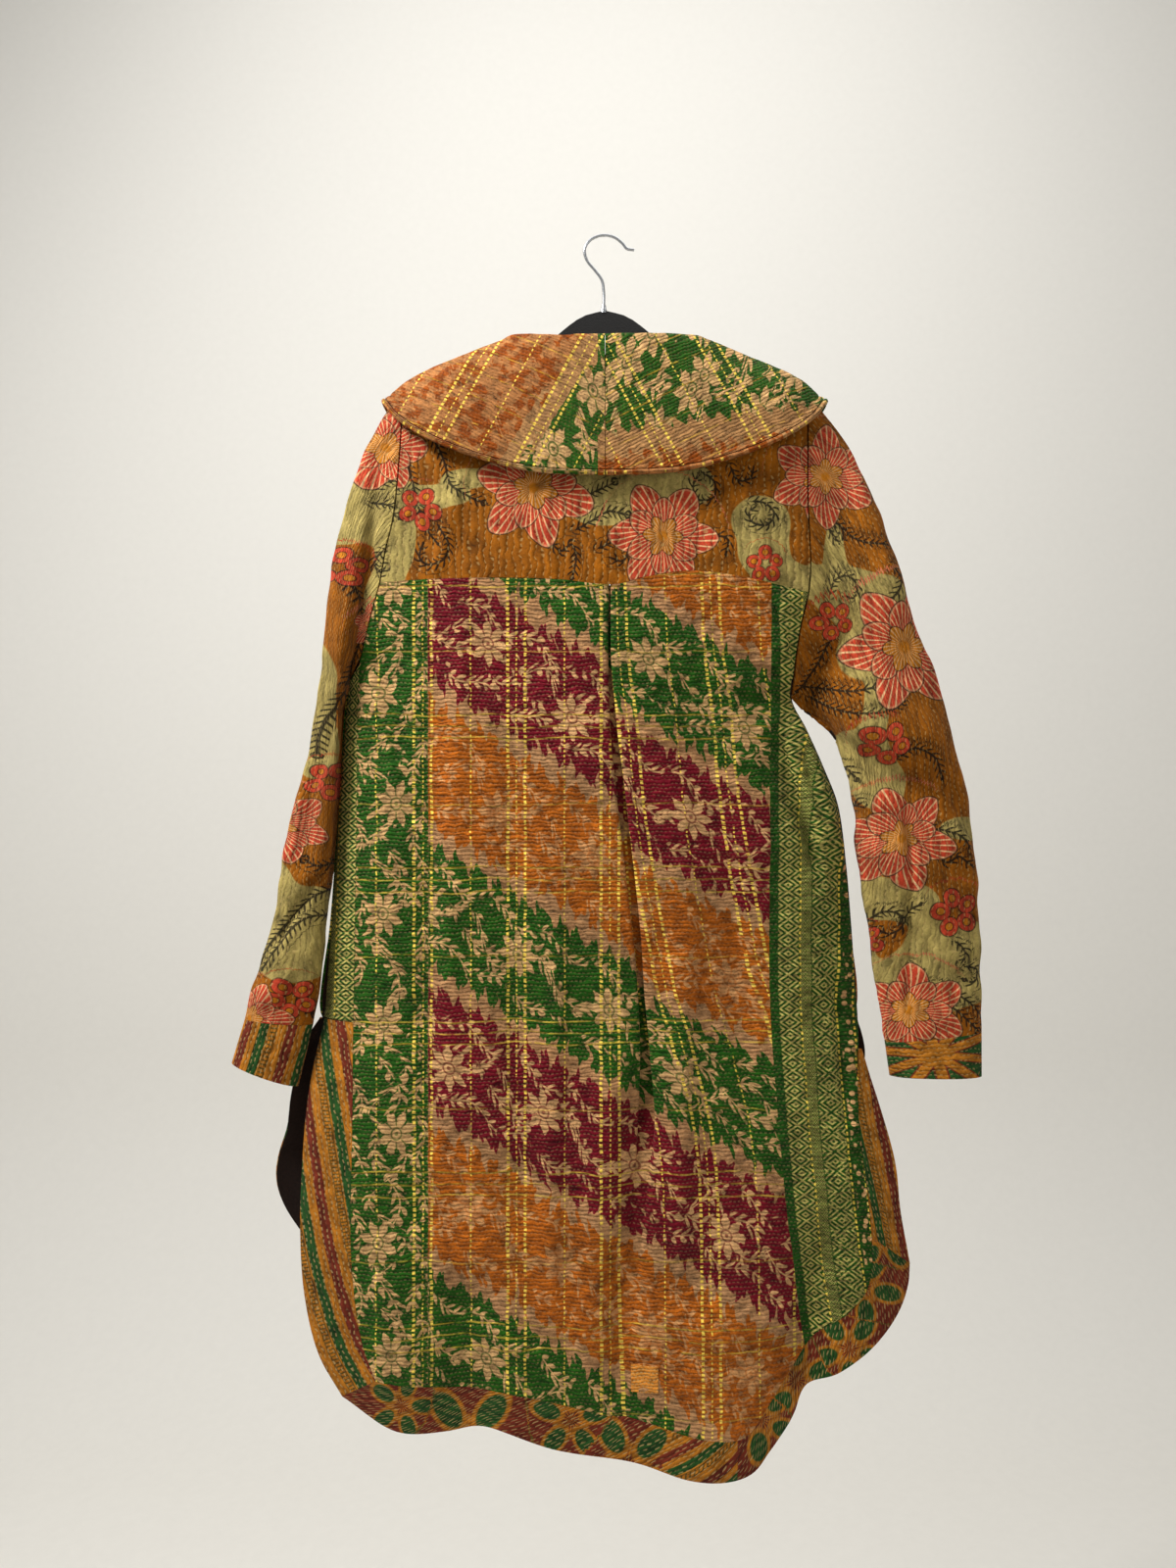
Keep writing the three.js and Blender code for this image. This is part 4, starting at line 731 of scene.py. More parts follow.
SPRIGS = [
    [(410, 440), (416, 470), (424, 500), (436, 540), (448, 556)],
    [(438, 444), (452, 470), (460, 494), (478, 508), (492, 514)],
    [(375, 498), (388, 491), (400, 492), (408, 500)],
    [(372, 512), (386, 516), (400, 524), (408, 530)],
    [(449, 536), (458, 556), (452, 574), (436, 578), (428, 570), (432, 556)],
    [(558, 552), (572, 562), (584, 556), (588, 570), (584, 590)],
    [(590, 540), (606, 530), (622, 522), (640, 526)],
    [(612, 560), (628, 552), (640, 560), (636, 572), (624, 570)],
    [(582, 510), (598, 506), (612, 500), (628, 492)],
    [(716, 482), (728, 492), (726, 506), (712, 508), (706, 496), (712, 484)],
    [(745, 478), (752, 490), (764, 488), (768, 476)],
    [(768, 512), (782, 514), (790, 524), (782, 536), (768, 534), (764, 524), (770, 518)],
    [(720, 556), (732, 548), (742, 552), (740, 566)],
    [(836, 530), (850, 536), (862, 548), (880, 556), (898, 558)],
    [(838, 540), (846, 552), (856, 548)],
    [(834, 606), (840, 592), (856, 588), (866, 598), (862, 610), (852, 608)],
    [(900, 582), (908, 590), (904, 604), (898, 612)],
    [(836, 656), (830, 676), (820, 694), (812, 704)],
    [(818, 700), (840, 704), (862, 706), (880, 702)],
    [(826, 712), (846, 722), (872, 728), (896, 724), (910, 716)],
    [(900, 770), (920, 762), (940, 772), (950, 792)],
    [(850, 790), (864, 784), (872, 794)],
    [(856, 812), (866, 822), (876, 818)],
    [(912, 838), (930, 848), (950, 846), (966, 852), (978, 866)],
    [(940, 862), (956, 880), (966, 874), (980, 882)],
    [(886, 940), (896, 930), (910, 930), (916, 944), (906, 954), (896, 950)],
    [(912, 944), (922, 930), (930, 922)],
    [(966, 960), (974, 972), (970, 982)],
    [(944, 1004), (962, 1012), (980, 1022), (994, 1036)],
    [(942, 1008), (956, 1022), (972, 1036), (988, 1050)],
    [(976, 986), (988, 990), (984, 1002), (976, 1000)],
    [(925, 985), (928, 996), (924, 1006)],
    [(390, 560), (376, 566), (372, 580), (384, 588), (392, 580)],
    [(350, 596), (356, 620), (360, 650), (352, 680), (344, 700)],
    [(345, 706), (338, 722), (330, 740), (322, 770)],
    [(340, 880), (322, 884), (312, 878)],
    [(334, 908), (318, 916), (300, 938), (284, 962), (270, 986)],
    [(332, 934), (314, 936), (300, 952), (286, 974), (274, 990)],
    [(309, 1020), (318, 1034), (326, 1030)],
]


# How far a motif's field reaches, in its radii, and how far a sprig's does, in print units.
MOTIF_REACH = 1.3
SPRIG_REACH = 9
SPRIG_DENSITY = 5
BLOB_FALL = 1.6
BLOB_RIM = 0.2
PRINT_DRIFT = 2.0
FLORAL_PITCH = 7.5


def nearest(place, motifs):
    """Local coordinates of the nearest motif, scaled so that its rim is at 1, and its mask."""
    best = np.full(place.shape[:2], 1e9)
    local = np.zeros((*place.shape[:2], 3))
    for x, y, radius, turn in zip(*motifs.values()):
        dx, dy = (place[..., 0] - x) / radius, (place[..., 1] - y) / radius
        far = np.hypot(dx, dy)
        near = far < best
        best = np.where(near, far, best)
        c, s = math.cos(turn), math.sin(turn)
        spot = np.stack([dx * c + dy * s, dy * c - dx * s, (far < MOTIF_REACH) * 1.0], axis=-1)
        local = np.where(near[..., None], spot, local)
    local[..., :2] = np.where(local[..., 2:] > 0, local[..., :2], 2.0)
    return local


def along_lines(place, lines, reach):
    """How far each point is along the nearest line, and beside it, within reach."""
    best = np.full(place.shape[:2], float(reach))
    found = np.zeros((*place.shape[:2], 3))
    found[..., 1] = reach
    for line in lines:
        points = spline(line, np.linspace(0, len(line) - 1, SPRIG_DENSITY * len(line)))
        low, high = points.min(axis=0) - reach, points.max(axis=0) + reach
        inside = np.all((place > low) & (place < high), axis=-1)
        if not inside.any():
            continue
        spots = place[inside]
        gone = 0.0
        nearest_here, kept = best[inside], found[inside]
        for a, b in zip(points[:-1], points[1:]):
            run = b - a
            size = np.linalg.norm(run)
            t = np.clip(((spots - a) @ run) / size**2, 0, 1)
            away = spots - (a + t[:, None] * run)
            far = np.linalg.norm(away, axis=1)
            side = np.sign(run[0] * away[:, 1] - run[1] * away[:, 0])
            near = far < nearest_here
            nearest_here = np.where(near, far, nearest_here)
            row = np.stack([gone + t * size, far * side, 0 * t], axis=1)
            kept = np.where(near[:, None], row, kept)
            gone += size
        best[inside], found[inside] = nearest_here, kept
    return found


def blob_field(place):
    """Over 0 inside the khaki blobs, whose rounded shapes run into one another."""
    field = np.zeros(place.shape[:2])
    for x, y, across, down in zip(*BLOBS.values()):
        far = ((place[..., 0] - x) / across) ** 2 + ((place[..., 1] - y) / down) ** 2
        field += np.exp(-BLOB_FALL * far)
    return field - BLOB_RIM


def floral_prints(place):
    drift = np.stack([lumps(place, 30, 30, 1), lumps(place, 30, 30, 2)], axis=-1)
    place = place + PRINT_DRIFT * drift
    return {
        "bloom": nearest(place, FLOWERS),
        "clover": nearest(place, CLOVERS),
        "sprig": along_lines(place, SPRIGS, SPRIG_REACH),
        "blob": blob_field(place),
    }


def petals(turn, count, shift, tip, dip):
    """The rim of a ring of pointed petals, and how far each place is from its petal's middle."""
    aside = (turn * count + shift + 0.5).centred().size() * 2
    return tip - aside.power(1.5) * dip, aside


def draw_bloom(d, colour):
    x, y, mask = d.read("bloom")
    there = mask.above(0.5, 0.1)
    r = length(x, y)
    turn = around(x, y)
    stripe = (turn * 46 + r * 0.9).centred().size()
    red = d.mix(stripe.below(0.12, 0.06), RED, CREAM)
    for count, shift, tip, dip in ((6.0, 0.0, 1.1, 0.46), (6.0, 0.5, 0.76, 0.3)):
        rim, aside = petals(turn, count, shift, tip, dip)
        petal = d.mix((r - rim).above(-0.05, 0.02) * 0.35, red, CREAM)
        petal = d.mix(aside.above(0.94, 0.04) * 0.8, petal, INK)
        colour = d.mix((r - rim).below(0, 0.012) * there, colour, petal)
        colour = d.mix(on_line(r - rim, 0.014, 0.012) * there * 0.85, colour, INK)
    rim, aside = petals(turn, 6.0, 0.0, 0.4, 0.15)
    vein = (turn * 30).centred().size()
    heart = d.mix(vein.below(0.15, 0.08) * r.above(0.1, 0.03) * 0.7, OCHRE, CREAM)
    colour = d.mix((r - rim).below(0, 0.012) * there, colour, heart)
    return d.mix(on_line(r - rim, 0.012, 0.012) * there * 0.85, colour, INK)


def draw_clover(d, colour):
    x, y, mask = d.read("clover")
    _, _, outward, aside = five_fold(x, y)
    far = length(outward - 0.56, aside * 1.15)
    there = mask.above(0.5, 0.1)
    colour = d.mix(far.below(0.37, 0.03) * there, colour, RED)
    colour = d.mix(far.below(0.15, 0.03) * there, colour, OCHRE)
    ink = on_line(far - 0.38, 0.025, 0.02).most(on_line(far - 0.16, 0.02, 0.02))
    return d.mix(ink * there * 0.8, colour, INK)


def draw_sprig(d, colour):
    along, beside, _ = d.read("sprig")
    away = beside.size()
    stem = away.below(1.2, 0.5)
    leaf = ((along - away * 0.9) / 6.4).fraction().below(0.36, 0.1) * away.below(6.0, 0.8)
    return d.mix(stem.most(leaf) * 0.92, colour, INK)


def draw_floral(name):
    d = Drawing(name)
    x, y, _ = d.read("place")
    u, v, _ = d.read("thread")
    blob = d.number("blob")
    ground = d.mix(d.noise(x, y, 26, 3.0, 2.0), *OCHRE_SHADES)
    khaki = d.mix(d.noise(x, y, 14, 3.0, 8.0), *KHAKI_SHADES)
    colour = d.mix(blob.above(0, 0.02), ground, khaki)
    colour = draw_sprig(d, colour)
    colour = draw_clover(d, colour)
    colour = draw_bloom(d, colour)
    colour, height = weave(d, colour, u, v, rows=FLORAL_PITCH, thread=1.8, dash=6.0,
                           stitch=FLORAL_STITCH, shown=0.3)
    return d.finish(colour, height)


# Banded cotton of the panel: print units again
BAND_PITCH = 145.0
BAND_SLOPE = 0.62
BAND_START = 558.0
BAND_AT = 437.0
LEFT_BORDER = 437.0
BORDER_STEM = 396
ZARI_EDGE = table("y x", (560, 787), (1000, 785), (1094, 790), (1221, 801), (1301, 811), (1400, 826))
THREAD_PITCH = 95.4
THREADS = [(520, 1.5, 0.60), (529, 0.7, 0.5), (538, 1.4, 0.62), (578, 0.7, 0.5)]
ROW_GROUP = 155.5
ROWS_ACROSS = [(730, 0.9), (742, 0.7), (754, 0.9), (665, 0.5)]


def dashes(value, pitch, share):
    return (value / pitch).fraction().below(share, 0.08)


def draw_threads(d, colour, x, y):
    """Gold threads: groups of dashed lines down the cloth and faint ones across it."""
    worn = d.noise(x, y, 18, 3.0)
    for at, half, share in THREADS:
        far = (x - at + worn * 4).past(THREAD_PITCH)
        broken = dashes(y + worn * 9, 5.2, share) * worn.above(0.4, 0.08)
        colour = d.mix(on_line(far, half, 0.4) * broken, colour, GOLD)
    for at, strength in ROWS_ACROSS:
        wavy = y + (d.noise(x, y, 60, 1.0, 3.0) - 0.5) * 10
        far = (wavy - at).past(ROW_GROUP)
        faint = d.noise(x, y, 12, 2.0, 6.0).above(0.42, 0.1)
        colour = d.mix(on_line(far, 0.8, 0.5) * faint * strength * 0.75, colour, ROW_GOLD)
    return colour


def choose(share, one, other):
    """The first value where the share is 0 and the other where it is 1."""
    return one + (other - one) * share


def branch(along, beside, pitch, sway, shift, leaf, bend):
    """A swaying stem with pairs of slanting leaves: where it is drawn."""
    away = (beside - ((along / pitch + shift) * FULL_TURN).sine() * sway).size()
    step = ((along - away * 0.8) / leaf + bend * 1.5).centred()
    wide, far = step / 0.27, (away - leaf * 0.5) / (leaf * 0.44)
    blade = (wide * wide + far * far).below(1.0, 0.3)
    return away.below(1.1, 0.5).most(blade)


def foliage(d, along, beside, pitch, count):
    """A flowering stem: where it is drawn, and where its flowers are inked."""
    cell = (along / pitch).math("FLOOR")
    fx = (along / pitch).centred() * pitch
    fy = beside + (cell * 2.4).sine() * 12
    r = length(fx, fy)
    turn = around(fx, fy)
    bend = d.noise(along, beside, 19, 1.0, 1.0)
    drawn = branch(along, beside, pitch, 15, 0.1, 11.5, bend)
    drawn = drawn.most(branch(along, beside, pitch * 0.8, -22, 0.35, 10.0, bend))
    drawn = drawn.most(branch(along, beside.size() - 38, pitch * 0.6, 7, 0.7, 9.5, bend))
    drawn = drawn * (bend + (along * 0.09).sine() * 0.05).above(0.455, 0.03) * r.above(22, 1.5)
    aside = (turn * count).centred().size()
    frayed = d.noise(along, beside, 5, 1.0, 2.0) * 10 - 5
    flower = (r - (25 - aside * 22 + frayed)).below(0, 0.6)
    ink = on_line(r - 6, 1.0, 0.5).most(aside.above(0.4, 0.04) * r.above(8, 1)).most(r.below(2.2, 0.5))
    return drawn.most(flower), ink * flower


def fringe(d, warp, x, y):
    """How far a band's edge falls short, in tongues of cloth that run down it."""
    bend = d.noise(x, y, 26, 1.0, 14.0) * 1.7
    wide = (warp / 17 + bend).centred().size() * 2
    thin = (warp / 6.4 + bend * 1.6).centred().size() * 2
    strength = 0.5 + d.noise(x, y, 34, 0.0, 15.0) * 1.1
    tongues = (wide.power(1.4) * 15 + thin.power(1.5) * 7) * strength
    return tongues + d.noise(x * 1.6, y * 0.5, 5, 2.0, 5.0) * 8


def draw_bands(d, x, y, warp):
    """Three colours in slanting bands that fray into one another over a pale ground, with
    a flowering stem along each, and a green border at the left with a stem of its own."""
    border = (x - LEFT_BORDER).below(0, 0.3)
    band = (y - (warp - BAND_AT) * BAND_SLOPE - BAND_START) / BAND_PITCH
    index = band.math("FLOOR").math("FLOORED_MODULO", 3.0)
    beside = band.centred() * BAND_PITCH
    orange = index.above(0.5, 0.01) * index.below(1.5, 0.01) * (1 - border)
    maroon = index.below(0.5, 0.01) * (1 - border)
    along = choose(border, warp + y * 0.35 + index * 41, y + 20)
    stem = choose(border, beside, (x - BORDER_STEM) * 1.2)
    drawn, inked = foliage(d, along, stem, 112.0, 8.0)
    cloudy = d.noise(x, y * 1.2, 11, 4.0, 7.0)
    strength = (1 - orange * 0.3) * (1.1 - cloudy * 0.5)
    ground = d.mix(maroon, d.mix(orange, GREEN, ORANGE), MAROON)
    colour = d.mix(drawn * strength, ground, BEIGE)
    colour = d.mix(inked * strength * 0.85, colour, ground)
    colour = d.mix(cloudy.above(0.52, 0.08) * orange * 0.5, colour, ORANGE_DARK)
    pale = d.mix(d.noise(x, y, 5, 2.0, 1.0), *PALE_SHADES)
    edge = beside.size() - BAND_PITCH / 2 - 3.5 + fringe(d, warp, x, y)
    comb = 5.5 - (LEFT_BORDER - x) - (y / 5.2).wave(1.0) * 14 - d.noise(x, y, 8) * 7
    return d.mix(choose(border, edge, comb).above(0, 0.9), colour, pale)


def draw_zari(d, into, y):
    """Woven border: a plain edge, a column of diamonds, dense zigzags, then gold dashes."""
    colour = d.mix(d.noise(into, y, 6, 2.0), *ZARI_SHADES)
    a = ((into - 19) / 9.5).size()
    b = (y / 14).centred().size() * 2
    ring = ((a + b) * 1.5).centred().size().below(0.23, 0.07)
    colour = d.mix(ring * into.above(9, 0.6) * into.below(30, 0.6) * 0.95, colour, LACE)
    fine = (((into - 36).size() + (y / 3.6).wave(1.0) * 5).wave(2.3)).below(0.5, 0.3)
    colour = d.mix(fine * into.above(31, 0.6) * into.below(42, 0.6) * 0.8, colour, LACE)
    c = ((into - 55) / 12.5).size()
    e = ((y + 5) / 20).centred().size() * 2
    zigzag = ((c + e) * 2.0).centred().size().below(0.2, 0.07)
    curls = d.spots(into, y, 4.4, 2.0).below(0.3, 0.08)
    column = zigzag.most(curls * 0.7) * into.above(43, 0.6) * into.below(68, 0.6)
    colour = d.mix(column * 0.9, colour, LACE)
    for at, share in ((31, 0.45), (69.5, 0.6), (84, 0.5)):
        colour = d.mix(on_line(into - at, 0.9, 0.5) * dashes(y + at * 3, 6.4, share), colour, GOLD)
    flower = d.spots(into * 1.1, y, 8, 6.0).below(0.34, 0.05) * into.above(73, 0.8) * into.below(84, 1.0)
    return d.mix(flower, colour, BEIGE)


def draw_banded(name):
    d = Drawing(name)
    x, y, hidden = d.read("place")
    warp = x + hidden
    colour = draw_bands(d, x, y, warp)
    colour = draw_threads(d, colour, warp, y)
    into = d.number("zari")
    colour = d.mix(into.above(0, 0.4), colour, draw_zari(d, into, y))
    pale = d.spots(x, y, 4.2, 11.0).below(0.14, 0.05) * 0.6
    colour = d.mix(pale, colour, d.shade(colour, 0.45))
    colour, height = weave(d, colour, y, x, rows=4.1, thread=2.2, dash=4.4,
                           stitch=BANDED_STITCH, shown=0.16, relief=2.6)
    return d.finish(colour, height)


# Border cottons
STRIPES = [(9.0, BORDER_MAROON), (20.0, BORDER_OCHRE), (29.0, BORDER_GREEN), (40.0, BORDER_OCHRE)]
STRIPE_PITCH = 51.0
LADDER = (42, 49)
DAISIES = table("x y radius turn", (410, 1434, 38, 0.0), (478, 1470, 66, 0.35), (583, 1448, 46, 1.0),
                (640, 1496, 60, 0.5), (776, 1448, 48, 0.4), (812, 1408, 54, 0.9), (866, 1376, 46, 0.3),
                (880, 1314, 44, 0.2), (900, 1262, 40, 0.9))


def stripes(d, across, along):
    place = (across / STRIPE_PITCH).fraction() * STRIPE_PITCH
    colour = d.colour(BORDER_OCHRE)
    for start, shade in STRIPES:
        colour = d.mix(place.above(start, 0.5), colour, shade)
    near, far = LADDER
    rung = along.wave(3.4).below(0.7, 0.3) * place.above(near, 0.4) * place.below(far, 0.4)
    rail = on_line(place - near, 0.5, 0.4).most(on_line(place - far, 0.5, 0.4))
    return d.mix(rung.most(rail) * 0.8, colour, RUNG_GREEN)


def draw_daisies(d, colour):
    x, y, mask = d.read("daisy")
    turn, r, outward, aside = five_fold(x, y)
    far = length((outward - 0.58) / 0.42, aside / 0.25)
    there = mask.above(0.5, 0.1)
    spoke = ((turn / FULL_TURN) * 15).centred().size().below(0.17, 0.08) * r.below(0.42, 0.05)
    colour = d.mix(far.below(1.0, 0.08).most(spoke) * there, colour, BORDER_OCHRE)
    return d.mix(far.below(0.74, 0.06) * there, colour, BORDER_GREEN)


def draw_striped(name, daisies=False):
    d = Drawing(name)
    u, v, _ = d.read("thread")
    colour = stripes(d, u, v)
    if daisies:
        colour = d.mix(d.number("maroon").above(0, 0.5), colour, BORDER_MAROON)
        colour = draw_daisies(d, colour)
    colour, height = weave(d, colour, u, v, rows=5.0, thread=2.0, dash=6.0,
                           stitch=STITCH, shown=0.6, relief=2.0)
    return d.finish(colour, height)


RAYS_MIDDLE = (950, 1076)


def draw_starburst(name):
    """The right cuff: ochre rays edged in maroon on green."""
    d = Drawing(name)
    x, y, _ = d.read("place")
    u, v, _ = d.read("thread")
    dx, dy = x - RAYS_MIDDLE[0], (y - RAYS_MIDDLE[1]) * 1.35
    r = length(dx, dy)
    turn = around(dx, dy)
    ray = (turn * 10 + 0.3).centred().size() * r * 0.63
    colour = d.mix(ray.below(6.4, 0.5), BORDER_GREEN, BORDER_MAROON)
    colour = d.mix(ray.below(4.8, 0.5).most(r.below(13, 1)), colour, BORDER_OCHRE)
    colour, height = weave(d, colour, v, u, rows=5.0, thread=2.0, dash=6.0,
                           stitch=STITCH, shown=0.4, relief=2.0)
    return d.finish(colour, height)


COLLAR_MIDDLE = (610, 350)
COLLAR_SLANT = math.radians(27)
COLLAR_THREADS = [(0, 1.2, 0.6), (9, 0.6, 0.5), (19, 1.4, 0.62), (58, 0.7, 0.5)]
COLLAR_ROWS = 26


def draw_collar(name):
    """Banded cotton cut on the slant: orange, pale ground and green, with gold lines across."""
    d = Drawing(name)
    x, y, _ = d.read("place")
    u, v, _ = d.read("thread")
    mottle = d.noise(x, y, 13, 4.0, 7.0)
    drawn, inked = foliage(d, v * 1.1 + u * 0.5, (u / 74).wave(1.0) * 74 - 18, 84.0, 7.0)
    orange = d.mix((mottle + drawn * 0.12).above(0.53, 0.05) * 0.75, *COLLAR_ORANGE)
    ragged = d.noise(x, y, 9, 3.0, 2.0) * 22 + (u / 14).wave(1.0) * 22
    left_edge = 571 - (y - 358) * 0.7 + ragged
    right_edge = 486 - (x - 700) * 0.16 - ragged
    green = d.mix(drawn * (0.35 + mottle), COLLAR_GREEN, BEIGE)
    green = d.mix(inked * 0.8, green, COLLAR_GREEN)
    pale = d.mix(d.noise(x, y, 6, 2.0), *COLLAR_PALE)
    left = d.mix((x - left_edge).above(0, 0.8), orange, pale)
    left = d.mix((x - left_edge - 26).above(0, 0.8), left, green)
    right = d.mix((y - right_edge + 40).above(0, 0.8), green, pale)
    right = d.mix((y - right_edge + 12).above(0, 0.8), right, orange)
    colour = d.mix((x - COLLAR_MIDDLE[0]).above(0, 0.3), left, right)
    for at, half, share in COLLAR_THREADS:
        far = (u - at).past(THREAD_PITCH)
        colour = d.mix(on_line(far, half, 0.4) * dashes(v, 5.4, share), colour, GOLD)
    faint = d.noise(x, y, 12, 2.0, 6.0).above(0.5, 0.1)
    colour = d.mix(on_line(v.past(COLLAR_ROWS), 0.7, 0.5) * faint * 0.6, colour, COLLAR_GOLD)
    dots = d.spots(x, y, 3.6, 3.0).below(0.22, 0.06)
    colour = d.mix(dots * 0.5, colour, COLLAR_DOT)
    colour, height = weave(d, colour, v, u, rows=3.6, thread=2.0, dash=4.0,
                           stitch=COLLAR_STITCH, shown=0.12)
    return d.finish(colour, height)


def clouds(d, scale, detail):
    """Random clouds through the object itself, for pieces without a print."""
    place, noise = d.new("ShaderNodeTexCoord"), d.new("ShaderNodeTexNoise")
    noise.inputs["Scale"].default_value = scale
    noise.inputs["Detail"].default_value = detail
    d.tree.links.new(place.outputs["Object"], noise.inputs["Vector"])
    return Value(d.tree, noise.outputs[0])


def plain(name, shades, size=3.0, rough=0.9, sheen=0.2, bump=0.6):
    """Two shades in clouds of a size in millimetres."""
    d = Drawing(name)
    value = clouds(d, 1 / (size * MM), 3.0)
    return d.finish(d.mix(value, *shades), value * bump, rough, sheen)


def metal(name):
    d = Drawing(name)
    value = clouds(d, 900.0, 2.0)
    rough = 0.16 + value * 0.18
    return d.finish(d.mix(value, *CHROME_SHADES), rough=rough, sheen=0.0, metal=1.0)


LINING = plain("dark_brown_lining", LINING_SHADES)
VELVET = plain("black_velvet", VELVET_SHADES, size=1.2, rough=1.0, sheen=0.6)
CHROME = metal("hook_chrome")
FLORAL = draw_floral("floral_cotton")
BANDED = draw_banded("banded_cotton")
STRIPED = draw_striped("striped_border")
DAISY = draw_striped("daisy_border", True)
STARBURST = draw_starburst("starburst_cuff")
COLLAR_PRINT = draw_collar("collar_cotton")


# Back: yoke, panel with its pleat, borders
def pleat_path(z, chords=6, straights=4):
    """The pleat's section at each height, and how far along the cloth each point is."""
    full = np.radians(read(PLEAT, "z", "turn", z))
    tuck, slit = read(PLEAT, "z", "tuck", z), read(PLEAT, "z", "slit", z)
    moves = [("turn", full), ("run", tuck), ("turn", -full), ("run", 2 * tuck + slit), ("turn", -full),
             ("run", tuck), ("turn", full)]
    x, y, heading, gone = (np.zeros(len(z)) for _ in range(4))
    path = [(x, y, gone)]
    for kind, value in moves:
        for _ in range(chords if kind == "turn" else straights):
            if kind == "turn":
                step = 2 * PLEAT_TURN * np.sin(np.abs(value) / (2 * chords))
                bend = value / chords
            else:
                step, bend = value / straights, 0.0
            x = x + step * np.cos(heading + bend / 2)
            y = y + step * np.sin(heading + bend / 2)
            heading = heading + bend
            gone = gone + step
            path.append((x, y, gone))
    return np.array(path).transpose(2, 0, 1)


def inner_side(rows):
    return [row[:2] for row in rows]


# The share of the pleat's cloth that the print runs on over, inside the pleat.
HIDDEN_SHARE = 0.63
PANEL_SIZE = (320, 84)
PANEL_LUMPS = [(0.5, 13, 5, 11), (1.5, 44, 32, 12), (0.8, 7, 6, 13)]


def panel():
    """The panel's flat places, points and print units."""
    rows, half = PANEL_SIZE
    v, u = np.linspace(0, 1, rows + 1), np.linspace(0, 1, half + 1)
    seam, foot = outline(YOKE_SEAM), outline(inner_side(BORDER_FOOT))
    left = outline([*ARMHOLE_LEFT[5:8], *inner_side(SIDE_STRIP), *inner_side(BORDER_LEFT)[1:]])
    right = outline([*ARMHOLE_RIGHT[5:8], *RIGHT_SIDE, *inner_side(BORDER_RIGHT)[1:]])
    top, end = seam(np.array([PLEAT_TOP]))[0], foot(np.array([PLEAT_FOOT]))[0]

    def pleat_z(v):
        return lerp(top[1], end[1], v)

    def pleat_left(v):
        run = read(PLEAT, "z", "x", pleat_z(v))
        start, stop = top[0] - read(PLEAT, "z", "x", top[1]), end[0] - read(PLEAT, "z", "x", end[1])
        return np.stack([run + lerp(start, stop, v), pleat_z(v)], axis=-1)

    def span(v):
        return pleat_path(pleat_z(v))[:, -1, 0]

    def pleat_right(v):
        return pleat_left(v) + np.stack([span(v), np.zeros(len(v))], axis=-1)

    def shifted(edge, split, at):
        wide = span(np.array([at]))[0]
        return lambda u: edge(lerp(split, 1, u)) + np.stack([wide * (1 - u), np.zeros(len(u))], axis=-1)

    west = between(lambda u: seam(u * PLEAT_TOP), lambda u: foot(u * PLEAT_FOOT), left, pleat_left, u, v)
    east_top, east_foot = shifted(seam, PLEAT_TOP, 0.0), shifted(foot, PLEAT_FOOT, 1.0)
    east = between(east_top, east_foot, pleat_right, right, u, v)
    path = pleat_path(pleat_z(v))
    a, b = west[:, -1:], east[:, :1]
    share = np.clip(path[..., 0] / path[:, -1:, 0], 0, 1)[:, 1:-1]
    fold = np.stack([a[..., 0] + path[:, 1:-1, 0], lerp(a[..., 1], b[..., 1], share)], axis=-1)
    flat = np.concatenate([west, fold, east], axis=1)
    points = on_body(flat, -1, BACK_FOLDS)
    lift = lerp(points[:, half:half + 1, 1], points[:, -half - 1:-half, 1], share)
    points[:, half + 1:-half - 1, 1] = lift + path[:, 1:-1, 1]
    plain_y = body_y(flat[..., 0], flat[..., 1], -1)
    place = print_place(points, plain_y)
    gone = path[..., 2] * HIDDEN_SHARE
    hidden = np.zeros(flat.shape[:2])
    hidden[:, half + 1:-half - 1] = (gone - path[..., 0])[:, 1:-1]
    hidden[:, -half - 1:] = (gone - path[..., 0])[:, -1:]
    return flat, points, place, hidden, half


def edge_fade(shape, width=5):
    """1 inside a grid and 0 at its edges, so that seams stay where they are."""
    rows, columns = shape
    i = np.minimum(np.arange(rows), np.arange(rows)[::-1]) / width
    j = np.minimum(np.arange(columns), np.arange(columns)[::-1]) / width
    return np.minimum(np.clip(i, 0, 1)[:, None], np.clip(j, 0, 1)[None])


def thread_field(across, along):
    return np.dstack([across, along, np.zeros(across.shape)])


def add_back():
    flat, points, place, hidden, half = panel()
    seen = list(range(half + 1)) + list(range(flat.shape[1] - half - 1, flat.shape[1]))
    add_yoke(flat[0, seen])
    normals = normals_of(points, False, -1)
    fade = edge_fade(points.shape[:2])
    fade[:, half - 1:-half + 1] = 0
    rise = crumple(place, PANEL_LUMPS)
    rise += CREASING * fold_rise(BACK_CREASES, flat[..., 0], flat[..., 1])
    draped = points + normals * (rise * fade)[..., None]
    lean = side_lean(flat, (-1, 0, 0))
    zari = place[..., 0] - read(ZARI_EDGE, "y", "x", place[..., 1])
    prints = {"zari": zari, "place": np.dstack([place, hidden])}
    piece = shell("cloth_back_panel", draped, CLOTH, place, -1, lean=lean, prints=prints)
    sewn(piece, "back_panel", (BANDED, LINING), points)
    add_borders(flat, seen)


YOKE_SIZE = (120, 220)
YOKE_TOP = [0, 0.0014, 0.004, 0.008, 0.014, 0.022]
YOKE_LUMPS = [(0.5, 9, 26, 21), (1.2, 50, 40, 22)]
RIDGE = 0.35


def quilting(across, pitch):
    """Raised rows between lines of stitching, a pitch apart."""
    return RIDGE * (1 - np.abs(np.cos(np.pi * across / pitch)) ** 3)


